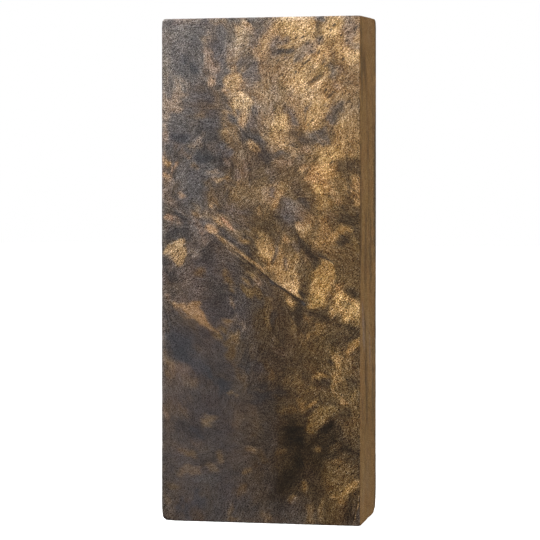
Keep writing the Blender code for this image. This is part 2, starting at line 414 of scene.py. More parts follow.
# Centre left: the pale island, rosy specks and dark streaks
CENTRE_LEFT = in_order(
    touch("rose", 1.8, [(1, 84.4), (1.4, 82.6)], [(1.6, 81.4), (2.2, 80.8)], strength=0.8),
    touch("dusk", 1.5, [(5, 82.8), (6.4, 82.4)]),
    touch("char", 1.8, [(4, 80), (8, 79.8)], [(2.2, 79.2), (5.4, 77.4)], strength=0.9),
    touch("tan", 1.8, [(7.4, 79), (9.2, 78)], strength=0.8),
    touch("sage", 2.4, [(9.6, 79), (11.8, 77.6)], strength=0.5),
    touch("haze", 0.5, [(3, 79.8), (5, 78.4), (8, 76.6), (10, 75.2)]),
    touch("coral", 1.5, [(1, 77.2), (2.4, 77)], strength=0.8),
    touch("coral", 1.1, [(3.8, 76), (4.8, 75.6)], strength=0.6),
    touch("rose", 1.2, [(1.2, 74.7), (2.4, 74.2)]),
    touch("char", 2.8, [(2.8, 73), (4.6, 72)], [(5.6, 74.6), (7.4, 72)], strength=0.8),
    touch("rose", 2.4, [(9, 74.6), (11.4, 73)], [(10.4, 72), (11.8, 70.8)], strength=0.8),
    touch("buff", 0.8, [(13.6, 77.6), (14.6, 76.4), (15.4, 75.2)]),
    touch("tan", 1.5, [(20, 71.6), (22, 71)]),
    touch("plum", 1.8, [(15.6, 73.2), (18.8, 71.4)]),
    touch("bark", 3, [(21.2, 78.2), (23.8, 76)], strength=0.6),
    touch("olive", 2.2, [(20, 74), (24, 73.2)], strength=0.7),
    touch("amber", 1.5, [(24.8, 79), (25.6, 76.8)], strength=0.8),
    touch("char", 1.4, [(16.6, 84), (16.2, 79)], [(14.6, 79), (15.8, 78.6)], strength=0.8),
    touch("mauve", 2.6, [(17, 80.6), (20, 78.4)]),
    touch("cocoa", 2.4, [(11.8, 83.6), (14.4, 80.6)]),
    touch("buff", 1, [(13, 80.4), (14.2, 81.6)]),
    touch("olive", 3, [(19, 84), (24, 81)], strength=0.5),
    touch("char", 2.4, [(13, 71), (10.6, 67.8), (9, 65)], strength=0.9),
    touch("mauve", 2.2, [(6.8, 69.8), (9, 68.2)], strength=0.6),
    touch("haze", 1.2, [(7.6, 68.6), (8.6, 68.2)]),
    touch("char", 1.6, [(0.4, 67), (0.8, 64)], strength=0.7),
    island("buff", [(0.7, 68.6), (1.6, 69.8), (3, 70.4), (4.4, 71.4), (5.8, 72), (6.4, 71.6), (6, 70),
                    (6.8, 68.8), (6.4, 67.4), (5, 65.6), (4, 64.6), (3.2, 65.4), (3, 67), (2, 68.2)]),
    touch("straw", 1.6, [(4, 70.4), (5.4, 71)], [(1.6, 68.6), (3.4, 67.4)], strength=0.6),
    touch("char", 1.8, [(20.6, 69.6), (23, 67.6)], [(20.4, 66.8), (22, 65.8)]),
)

# Centre right: olive and mauve round the pale heart, and amber and gold arcs beyond it
CENTRE_RIGHT = in_order(
    touch("dusk", 2, [(26, 84), (27.6, 81)], strength=0.7),
    touch("mauve", 1.3, [(28.4, 84), (29.2, 82.4)]),
    touch("gold", 1.8, [(31, 84.6), (30, 81.6), (28.6, 79.4)]),
    touch("tan", 1.6, [(27.4, 79.8), (26.6, 77.2)]),
    touch("olive", 2.6, [(32, 84.4), (34.4, 82)]),
    touch("cocoa", 3, [(35.8, 84), (38.4, 83)]),
    touch("plum", 1.8, [(36.4, 81.4), (37.8, 80)]),
    touch("amber", 3, [(39.8, 83.6), (42.4, 82)]),
    touch("honey", 1.4, [(40, 84.4), (41.4, 83.2)]),
    touch("dusk", 1.5, [(43.8, 83.6), (45.2, 81)]),
    touch("buff", 3.6, [(49.6, 86.8), (50.2, 81.6)], soft=2.4, strength=0.9),
    touch("buff", 1.6, [(39.4, 79.8), (42.4, 79.2)]),
    touch("mauve", 2.2, [(42.4, 78), (44.8, 76.8)]),
    touch("umber", 2.6, [(46.2, 77.6), (49.8, 75.6)]),
    touch("haze", 0.9, [(31.8, 79.4), (33.8, 80.6), (36, 80.4)]),
    touch("slate", 2.2, [(32.2, 77), (33.6, 76.4)], strength=0.7),
    touch("bark", 1.6, [(30, 76.6), (31.2, 75.2), (32.4, 73.4)], strength=0.8),
    touch("rose", 2, [(35.2, 78.2), (37.4, 77.2)], strength=0.8),
    touch("cocoa", 1.8, [(43.4, 76), (44.6, 73.6)]),
    touch("amber", 1.3, [(44.6, 72.8), (46.4, 74), (48.4, 74.2)]),
    touch("gold", 1.6, [(41, 71), (42.4, 71.7), (44.6, 72.4)]),
    touch("umber", 1.8, [(45, 70), (46.6, 71.4), (48.4, 71)]),
    touch("olive", 2, [(49, 71.6), (50.4, 68.8)]),
    touch("umber", 2.4, [(36.4, 70.4), (38.2, 69)]),
    touch("tan", 2, [(31, 72.4), (32.8, 71.4)]),
    touch("peach", 1, [(31.7, 72.1), (32.5, 71.2)]),
    touch("mauve", 2, [(33.2, 70.6), (35.2, 68.8)], strength=0.8),
    touch("bark", 2.4, [(25.6, 76.2), (27.6, 74), (28.8, 71.4)], strength=0.7),
    touch("olive", 1.6, [(25.4, 72), (27.4, 70.6)], strength=0.7),
    touch("buff", 2.4, [(26, 70), (27.4, 68), (27.8, 66)]),
    touch("straw", 1.3, [(26.8, 69), (27.6, 67.4)]),
    touch("smoke", 1.2, [(29.4, 69.4), (28.8, 66)]),
    touch("mauve", 1.3, [(31.6, 67.6), (32.4, 64.8)]),
    touch("gold", 1.6, [(33.4, 65.4), (35, 67.4)], strength=0.7),
    touch("tan", 1.4, [(37, 67), (38.2, 65.4)]),
    touch("umber", 1.6, [(38.6, 67.8), (39, 65.2)], strength=0.7),
)

# Below the seam on the left: the dark triangle, the amber wedge and the blue-black pool
SEAM_LEFT = in_order(
    touch("char", 2.4, [(2, 62.6), (3.6, 62.4)]),
    touch("mauve", 1.4, [(0.5, 62.8), (0.7, 60.4)]),
    touch("rose", 2.4, [(4.6, 62.8), (7, 61)], strength=0.45),
    touch("sage", 1.4, [(2.4, 60.4), (3.8, 59.4)], strength=0.5),
    touch("dusk", 1.6, [(0.7, 58.4), (1.6, 57)], strength=0.8),
    touch("rose", 3, [(8.4, 59.2), (11.6, 57.8)], strength=0.3),
    touch("char", 4.6, [(12.6, 61), (14.6, 54)], [(14, 57), (16.6, 53.4)], strength=0.55),
    touch("cocoa", 1.8, [(16.4, 62.6), (17.6, 61.4)], [(9.4, 63), (10.8, 63.4)]),
    island("tan", [(2.2, 55.6), (3.4, 55.9), (5.6, 55.4), (7.6, 55.8), (9.4, 55.5), (10.2, 55),
                   (10.6, 53.6), (11.2, 52.2), (12.4, 50.4), (14.2, 49.2), (15, 48.2), (14.8, 47),
                   (13.8, 46.8), (13, 48.4), (11.4, 49), (9.6, 49.6), (8.4, 51), (7, 51.6), (5.8, 51.6),
                   (4.6, 53), (3.4, 54.4)]),
    touch("peach", 2.2, [(3.6, 55.2), (7.6, 53.8), (11.4, 51), (13.8, 48.6)], strength=0.25),
    touch("olive", 1.2, [(13.4, 47.8), (15.4, 46.8)]),
    touch("tan", 1.2, [(17.8, 56.8), (18.6, 54.8)], strength=0.8),
    touch("cocoa", 1.6, [(18, 60), (18.4, 58)], [(23.8, 58.8), (24.6, 57.8)]),
    touch("olive", 2, [(21.6, 59.6), (23.2, 58)]),
    touch("tan", 1.3, [(21.2, 61.6), (22.8, 60.2)], strength=0.7),
    touch("sage", 1.4, [(22, 63.4), (24.2, 62.2)]),
    touch("rose", 1.2, [(24.6, 61.6), (25.4, 60.4)]),
    touch("haze", 0.9, [(19.2, 53.4), (18.4, 51), (17.4, 49.2)], strength=0.8),
    touch("tan", 1.4, [(15.9, 50.6), (17.2, 50.4)], strength=0.8),
    touch("olive", 1.2, [(15.2, 49.8), (16.2, 49.2)], strength=0.8),
    touch("haze", 0.5, [(19.4, 50.7), (20.8, 50.4), (21.3, 49.1), (20.5, 48.2)]),
    touch("tan", 2, [(18.2, 47.6), (19.4, 45.8)], strength=0.8),
    touch("cocoa", 2.6, [(17.6, 45), (19.4, 43)]),
    touch("ink", 3.6, [(3.2, 46.8), (5.4, 43)], soft=5, strength=0.7),
    touch("plum", 4.6, [(2, 52), (5.6, 49.4)], [(10, 47.4), (12.6, 45)], strength=0.7),
    touch("mauve", 0.9, [(0.5, 52), (0.5, 45)]),
)

# Below the seam on the right: straw beside it, the gold blob and pale patches by the edge
SEAM_RIGHT = in_order(
    touch("sage", 1.6, [(25.6, 63.6), (26.8, 62.8)], [(28.4, 61.8), (29.8, 61)]),
    touch("straw", 2.2, [(31.4, 60.8), (33.4, 59.2), (34.9, 58)]),
    touch("straw", 1.6, [(33.6, 63), (34.8, 60)]),
    touch("cream", 1.2, [(33, 59), (34.8, 57.8)], strength=0.8),
    touch("walnut", 0.7, [(33.2, 63), (33.8, 61.4)]),
    touch("umber", 2, [(36.9, 63.4), (36.8, 60), (37.1, 57.4)]),
    touch("olive", 1.4, [(37.8, 63.6), (37.8, 59.4)], strength=0.8),
    touch("soot", 0.9, [(35.9, 58.2), (36.3, 57.7)]),
    island("gold", [(39.8, 64.2), (41.6, 65), (44, 65.2), (44.7, 63.8), (44.8, 62.4), (44.2, 61.2),
                    (43, 60.2), (42.5, 59.2), (42.4, 58), (41.6, 56.6), (40.6, 55), (38.8, 54.3),
                    (37.8, 55.2), (38, 57), (38.3, 58.8), (38.7, 60.6), (39.2, 62.2)]),
    touch("amber", 2.4, [(42, 63), (43.6, 62)]),
    touch("moss", 2, [(38.8, 56.4), (40, 55.2)]),
    touch("dusk", 2.4, [(44, 60.8), (45.6, 59.2)]),
    touch("mauve", 1.5, [(43, 58.4), (43.6, 56.2)]),
    touch("straw", 2, [(46.4, 57.9), (45.6, 56.6)]),
    touch("umber", 1.8, [(46.8, 59), (50.2, 57.8)]),
    touch("chestnut", 3.4, [(46.4, 62.6), (49.6, 61)], strength=0.6),
    touch("buff", 1.5, [(43, 52.8), (45, 55.2)]),
    touch("olive", 1.2, [(46, 56), (48.4, 55.2)]),
    touch("straw", 2, [(46.6, 51.8), (48.8, 54)]),
    touch("straw", 1.4, [(49.8, 56), (50.2, 53.2)]),
    touch("sage", 1.3, [(48.4, 51.4), (50.6, 51.2)]),
    touch("umber", 2, [(37.8, 53.8), (40, 53), (42.4, 52)]),
    touch("plum", 1.2, [(38, 53.6), (39.6, 53)]),
    touch("amber", 1.8, [(37, 52.2), (38.2, 51)], strength=0.8),
    touch("amber", 1.4, [(39.8, 50.6), (41.6, 49.8)]),
    island("tan", [(39, 47.5), (39.6, 48.8), (40, 49.9), (41.6, 49.4), (42, 48.4), (40.6, 47.4)]),
    touch("bark", 3.4, [(42, 48.2), (44.6, 46.8)], [(46.6, 49.4), (49, 47.4)]),
    touch("char", 1.9, [(35.8, 55.4), (34.6, 53), (35.6, 49.8)]),
    touch("tan", 2, [(32.4, 56.4), (33.4, 55.6)]),
    touch("cream", 1, [(32.6, 56.2), (33.2, 55.7)], strength=0.8),
    touch("cocoa", 2.4, [(27.2, 56.4), (26.8, 53)]),
    touch("olive", 1.4, [(27.4, 52), (27.2, 49.4)], [(33.6, 52), (33.8, 46.4)]),
    touch("char", 1.3, [(28.9, 54), (28.8, 50)]),
    touch("walnut", 1, [(35.2, 47.8), (36, 46.2)]),
    touch("tan", 0.8, [(36.4, 45.4), (38.2, 47.4)]),
    touch("haze", 1.2, [(29.3, 46.4), (29.9, 45.7)], strength=0.7),
    touch("chestnut", 2.2, [(37, 44.4), (40, 43.2)], strength=0.6),
    touch("rose", 1.4, [(29.8, 43.8), (31.2, 42.8)], strength=0.5),
    touch("straw", 1.3, [(47, 43), (48.4, 44.2), (50, 45.8)]),
    touch("gold", 1.2, [(49.4, 45.6), (50.8, 47)]),
    touch("olive", 1.8, [(43.4, 44.2), (46, 43.4)]),
    touch("umber", 1, [(44.6, 50.6), (47, 50.2), (50.8, 48.8)]),
)

# Lower left: plum brown with faint rosy clouds and blue-black hollows
LOWER_LEFT = in_order(
    touch("tan", 2.6, [(0.8, 42.6), (2, 40.4), (2.8, 38)], strength=0.6),
    touch("rose", 2, [(2.6, 40), (4.6, 39.4)], [(5, 40), (6.2, 38.8)], strength=0.5),
    touch("ink", 2.6, [(3.8, 43.4), (5, 42.4), (7.4, 41)], [(9.2, 40), (12, 37.6)], strength=0.8),
    touch("tan", 2.2, [(6, 36), (7.8, 35.2)], strength=0.5),
    touch("mauve", 3, [(4.6, 37.6), (9.6, 34)], strength=0.4),
    touch("slate", 3.2, [(9.4, 41), (11.4, 38)], strength=0.6),
    touch("ink", 3, [(13.4, 36), (15.6, 35), (14.6, 33)], strength=0.75),
    touch("cocoa", 2, [(17.2, 42.8), (19.4, 42.4)], [(20.4, 38.4), (21.2, 36.4), (21.2, 34.6)],
          strength=0.8),
    touch("tan", 0.8, [(17, 33), (19.4, 32.6)], strength=0.7),
    touch("char", 2.4, [(22.4, 43), (22.6, 38.8)], [(23.6, 33.2), (25.6, 32)], strength=0.8),
    touch("coral", 1.6, [(0.8, 28.4), (1.6, 26)], strength=0.4),
    touch("tan", 1.8, [(4.8, 29), (6, 27)], strength=0.5),
    touch("tan", 2.8, [(11.2, 25.4), (13, 26.2)], soft=2, strength=0.75),
    touch("char", 3.4, [(3, 24), (6, 24.6)], [(7.4, 24), (10, 21.6)], strength=0.7),
    touch("ink", 2, [(8, 23.4), (10, 21.6)], strength=0.6),
    touch("walnut", 2, [(19.2, 28.4), (20, 25)], strength=0.4),
    touch("walnut", 3.6, [(23.6, 27.6), (24.6, 23.6)], strength=0.4),
    touch("umber", 0.6, [(20.2, 20.9), (22.2, 20.4), (24.2, 20)]),
    touch("tan", 1.5, [(22, 19), (24.4, 18.2)], strength=0.9),
    touch("tan", 1.5, [(4.8, 18.2), (6.4, 17.4)], [(7.4, 17), (8.4, 16.6)], strength=0.6),
    touch("rose", 2.4, [(9, 19.8), (11, 19.2)], strength=0.4),
    touch("char", 1.6, [(14.8, 18.6), (13, 16.4), (10.8, 14.8)], strength=0.8),
    touch("slate", 2, [(8.4, 11), (13.6, 11)], strength=0.6),
    touch("tan", 1.7, [(14.6, 17), (15.8, 16.2)], [(12.8, 14.4), (14.2, 13.6)], strength=0.5),
    touch("tan", 2.2, [(5, 12), (6.6, 13.4), (9.6, 13)], strength=0.55),
    touch("olive", 1.6, [(2, 8.8), (4.6, 8.4)], strength=0.5),
    touch("ink", 2.6, [(5, 3), (7.2, 2), (6, 5)], [(9.4, 6.4), (10.6, 5.4)], strength=0.6),
    touch("tan", 1.8, [(1.2, 6), (2, 4.6)], strength=0.5),
    touch("cocoa", 2.4, [(8.2, 2), (9.6, 0.8)], strength=0.5),
    touch("tan", 1.6, [(17.6, 4.6), (17, 2.4)], [(16.8, 1), (19, 1.2)], strength=0.6),
    touch("walnut", 2.2, [(19.6, 7.2), (21.2, 9.4)], strength=0.7),
    touch("tan", 0.9, [(21, 12.4), (22.4, 13.4)], strength=0.7),
    touch("char", 3, [(21, 4), (24.6, 3.4)], strength=0.5),
    touch("smoke", 2.6, [(12.4, 20), (12, 17.6)], [(19, 16), (21.6, 17)], strength=0.3),
)

# Lower right: olive brown crossed by gold, with near-black hollows
LOWER_RIGHT = in_order(
    touch("chestnut", 2.4, [(26.4, 40.4), (28.2, 37.6)], strength=0.4),
    touch("tan", 1.2, [(28, 38.4), (28.2, 36.4)], strength=0.7),
    touch("plum", 1.6, [(25.2, 39.4), (26.4, 38.2)]),
    touch("char", 2.6, [(25.6, 34), (28, 33)], [(29.8, 33.6), (31.4, 32.8)]),
    touch("walnut", 2.8, [(32.6, 36), (34.6, 36.2)], [(35.2, 37.6), (36, 35.2)]),
    touch("plum", 1.6, [(36.8, 37.6), (37.4, 36)]),
    touch("sage", 1.2, [(38, 34.6), (39.2, 34.8)]),
    touch("rose", 2, [(37.6, 40), (39.4, 38.8)], strength=0.5),
    touch("olive", 2.4, [(37, 33.4), (39.6, 33)], strength=0.5),
    touch("gold", 1.6, [(39.6, 37), (40.8, 38), (41.6, 37.4)]),
    touch("plum", 2.2, [(40.4, 35.8), (42.8, 35.6)]),
    touch("mauve", 1.4, [(40.6, 34.4), (42.2, 33.6)]),
    touch("gold", 2, [(45, 42.4), (44.2, 40.8)]),
    touch("umber", 1.2, [(42.2, 42), (43.2, 40.4)]),
    touch("gold", 1.8, [(44, 38), (44.8, 36.4), (44.4, 35.2)], strength=0.9),
    touch("amber", 2.6, [(46.6, 36.6), (46.4, 34)], strength=0.8),
    touch("bark", 2.6, [(49.4, 42), (50.2, 37)], [(48, 36.4), (49.2, 35.6)]),
    touch("tan", 1.2, [(44.4, 33), (46, 31.4)]),
    touch("peach", 1, [(46, 30.9), (47.2, 30.4)], strength=0.8),
    touch("moss", 1.4, [(49.2, 33.6), (49.4, 30.6)]),
    touch("bark", 1.6, [(47.2, 28.6), (46.6, 25.6)]),
    island("moss", [(37.5, 24.6), (37.6, 27.2), (39, 28.2), (40.6, 30.2), (42, 30.6), (43.6, 30),
                    (45.4, 29.3), (44.8, 28.2), (43, 26.6), (41.6, 25.4), (40, 23.8), (38.6, 23.8)]),
    touch("straw", 1, [(37.7, 29.6), (38.8, 30.6), (39.8, 31.3)]),
    touch("buff", 1.7, [(35.6, 31), (36, 29)], strength=0.9),
    touch("walnut", 2.4, [(31.8, 28.6), (33.8, 28.8)]),
    touch("soot", 2.2, [(32.6, 26.6), (34, 25.2)], strength=0.8),
    touch("soot", 3.6, [(32.4, 23.8), (35, 22.6)], soft=4, strength=0.6),
    touch("tan", 1.6, [(38.2, 23.8), (39.8, 24.6)], strength=0.9),
    touch("soot", 2, [(40.6, 23.2), (42, 23.8)]),
    touch("soot", 1, [(42, 24.6), (43.8, 25.7), (45.6, 25), (46.1, 23.2)]),
)

# The foot of the front: the dark band that falls to the left, and gold that rises right
FOOT_RIGHT = in_order(
    touch("cocoa", 1.6, [(25.6, 18.6), (26.4, 16)]),
    touch("walnut", 1, [(29.4, 17.8), (31.2, 18.7)]),
    touch("cocoa", 2.8, [(29.4, 14.6), (32.6, 15.4)], strength=0.7),
    touch("soot", 2.6, [(36, 20.4), (36.8, 17), (35.2, 14.4)], soft=3.5, strength=0.7),
    touch("soot", 2.6, [(34.6, 13.6), (32.4, 11.8), (30.4, 9.8), (29, 6.4)], soft=3.5, strength=0.7),
    touch("plum", 2, [(38, 13.4), (39.6, 12.4)], [(36.6, 19), (37.6, 17)]),
    touch("amber", 1.4, [(36.8, 10.6), (37.2, 8.8)]),
    touch("tan", 0.9, [(32.6, 6.4), (34, 7), (35, 7.8)]),
    touch("haze", 0.5, [(32.8, 5.8), (34.6, 6.6)]),
    touch("amber", 2, [(38.4, 5), (38.8, 2.8), (38.4, 0.6)], strength=0.8),
    touch("tan", 0.9, [(41, 6.8), (41, 3.6), (40.8, 0.6)]),
    touch("tan", 2.2, [(26.2, 2.4), (27.8, 1.2)], strength=0.7),
    touch("tan", 1.4, [(39.6, 19.4), (40.4, 18.4)]),
    touch("umber", 2, [(46.4, 19.6), (48, 18.8)]),
    touch("walnut", 1.6, [(43, 18.8), (45, 20.2)]),
    touch("gold", 1.5, [(44.8, 15.8), (46.6, 16.6)], strength=0.9),
    touch("sage", 1.6, [(46.4, 18), (48.6, 17.4)], strength=0.7),
    touch("amber", 2.6, [(44.6, 4.6), (46.4, 7.4), (48.2, 9.6), (50.8, 11.8)]),
    touch("gold", 1.4, [(46.6, 8), (49, 10.4), (50.4, 11.4)]),
    touch("bark", 1.8, [(49.6, 8.6), (49, 6.2)], strength=0.6),
    touch("umber", 2.2, [(48, 6.8), (48.2, 1)]),
    touch("buff", 0.3, [(50.6, 8), (50.2, 5), (49.8, 3), (49, 0.8)], soft=0.25, strength=0.8),
)

# Crisp things, drawn over the rest with a steadier hand: the seam and its bands, with a painted shadow
# along the seam, the pale triangle and heart, the ridge and dashes at the top right, with a painted
# shadow above the ridge, and the brightest flecks
LINES = in_order(
    touch("peach", 2, [(12, 74.8), (13.8, 73.7)], soft=1.1, strength=0.9),
    touch("cream", 0.7, [(12.4, 73.9), (12.9, 73.4)], soft=0.6, strength=0.6),
    touch("tan", 1.5, [(14.4, 77.8), (17.4, 75.4), (20.4, 72.6)], soft=1.4, strength=0.4),
    touch("coral", 1.2, [(15.4, 77), (16.8, 75.6), (18.4, 73.9)], soft=0.7, strength=0.9),
    touch("plum", 1.6, [(15.4, 74.2), (18, 72), (21, 69.6), (23.4, 67.6)], soft=1.1, strength=0.65),
    touch("buff", 1.9, [(14.8, 72.2), (17.6, 69.9), (20.6, 67.5), (23, 65.7)], soft=0.9, strength=0.65),
    # The seam's painted shadow: a dark band along it
    touch("umber", 0.9, [(25.2, 63.7), (28.2, 61.1), (32.4, 58.5), (36.4, 55.6)], strength=0.7),
    touch("soot", 0.4, [(24.6, 64.2), (27.8, 61.6), (30.4, 59.8), (34.4, 57), (37, 55.2)], soft=0.3),
    touch("soot", 0.35, [(15.4, 71.2), (18.4, 68.8), (22.4, 65.9), (25, 63.9)], soft=0.4, strength=0.7),
    touch("ink", 0.7, [(27.9, 61.4), (28.6, 60.6)], [(35.8, 56.3), (36.9, 55.2)], strength=0.7),
    touch("straw", 0.5, [(20, 68.4), (23, 66.4), (26.6, 63.9)], soft=0.5, strength=0.7),
    touch("cream", 0.4, [(24, 65.3), (26.6, 63.4)], [(30, 60.6), (32.6, 58.9)], soft=0.4, strength=0.5),
    touch("haze", 0.5, [(14.4, 72.7), (11.6, 70.5), (9, 68.3), (6.8, 66.3)], soft=0.4, strength=0.8),
    touch("umber", 0.35, [(40, 67.9), (41.8, 67), (44, 65.9)], soft=0.3),
    touch("cocoa", 1.5, [(39.6, 77), (39.8, 75), (38.6, 72.4)], soft=1.4, strength=0.6),
    touch("umber", 1.4, [(33.6, 75.4), (34.2, 73.4), (35.6, 71.2)], soft=1.4, strength=0.6),
    island("buff", [(34.3, 74.9), (34.9, 76.2), (36.2, 75.7), (37.2, 76.5), (38.5, 75.7), (38.2, 74.5),
                    (36.9, 73), (36, 71.9), (35.2, 72.9)], soft=0.8, strength=0.95),
    touch("straw", 1.2, [(35.4, 74.6), (36.6, 74)], [(37.2, 75.2), (37.8, 74.6)], soft=1, strength=0.5),
    # Painted shadow above the ridge at the top right
    touch("umber", 1, [(37.6, 110.2), (39.4, 111.3), (41.6, 112.4)], soft=0.8, strength=0.7),
    touch("straw", 1.3, [(38.2, 109.3), (40.2, 110.4), (43.2, 113.1)], soft=0.7, strength=0.9),
    touch("cream", 0.6, [(38.8, 109.5), (40.6, 110.6)], soft=0.5, strength=0.6),
    touch("char", 0.9, [(30, 118.4), (31.9, 118.9)], [(32.3, 118.3), (33.5, 118.6)], soft=0.7,
          strength=0.9),
    touch("buff", 0.4, [(46.6, 84.8), (50.6, 82.2)], [(47.4, 85.8), (50.8, 83.5)],
          [(46.2, 83.8), (50, 81.2)], soft=0.4, strength=0.5),
    touch("umber", 0.4, [(46.8, 84.2), (50.6, 81.7)], [(47, 85.3), (50.8, 82.9)], soft=0.4, strength=0.5),
    touch("straw", 0.9, [(43.6, 7.3), (44.6, 7.4)], soft=0.8, strength=0.6),
    touch("buff", 1.4, [(14.2, 72.7), (16.4, 70.9)], soft=0.9, strength=0.6),
    touch("cream", 1.5, [(20.4, 107.9), (20.9, 107.1)], [(22, 106.9), (23, 106)], soft=1, strength=0.8),
    touch("peach", 2.2, [(21.4, 103.6), (20.8, 100.6)], soft=1.2, strength=0.6),
    touch("cream", 1, [(33, 59.1), (34.4, 58)], soft=0.9, strength=0.5),
    touch("umber", 0.45, [(35.8, 114.4), (38.4, 117)], [(34.1, 115.7), (35.6, 116.8)],
          [(41, 115), (42.2, 116.6)], [(39.9, 117.6), (40.5, 118.6)], [(40, 120.6), (41.5, 122.4)],
          [(42.6, 106.8), (44.2, 108.3)], [(41.6, 114.3), (42.4, 115)], [(47.6, 105.6), (48.3, 106.4)],
          soft=0.4, strength=0.8),
    touch("umber", 0.35, [(26.6, 126.2), (27.4, 126.8)], [(34.2, 121.4), (35.2, 122.4)],
          [(36, 121.7), (36.6, 122.2)], [(37.2, 120.1), (37.7, 120.6)], [(43.8, 124.3), (44.6, 125.1)],
          [(43.1, 123.4), (43.7, 123.9)], [(45.9, 122), (46.3, 122.4)], [(47.4, 120.6), (47.9, 121)],
          [(49.2, 123.8), (49.9, 124.4)], [(46.2, 115.9), (46.9, 116.6)], [(30.7, 112.3), (31.5, 113)],
          [(34.3, 113), (34.8, 113.5)], [(41.7, 108.4), (42.4, 109)], [(29.8, 116), (30.3, 116.5)],
          [(37.4, 100), (38, 100.6)], [(38.3, 100.9), (39, 101.7)], [(43.1, 90.5), (44, 91.3)],
          [(28.6, 103.6), (29.4, 104.4)], soft=0.35),
)

# Everything on the front that is drawn under the glazes, some of it more faintly
FRONT_FIGURE = in_order(
    WASHES,
    eased(TOP_LEFT, 0.7),
    eased(TOP_RIGHT, 0.75),
    eased(UPPER_LEFT, 0.85),
    eased(UPPER_RIGHT, 0.8),
    CENTRE_LEFT,
    eased(CENTRE_RIGHT, 0.85),
    SEAM_LEFT,
    eased(SEAM_RIGHT, 0.9),
    LOWER_LEFT,
    eased(LOWER_RIGHT, 0.8),
    eased(FOOT_RIGHT, 0.8),
)

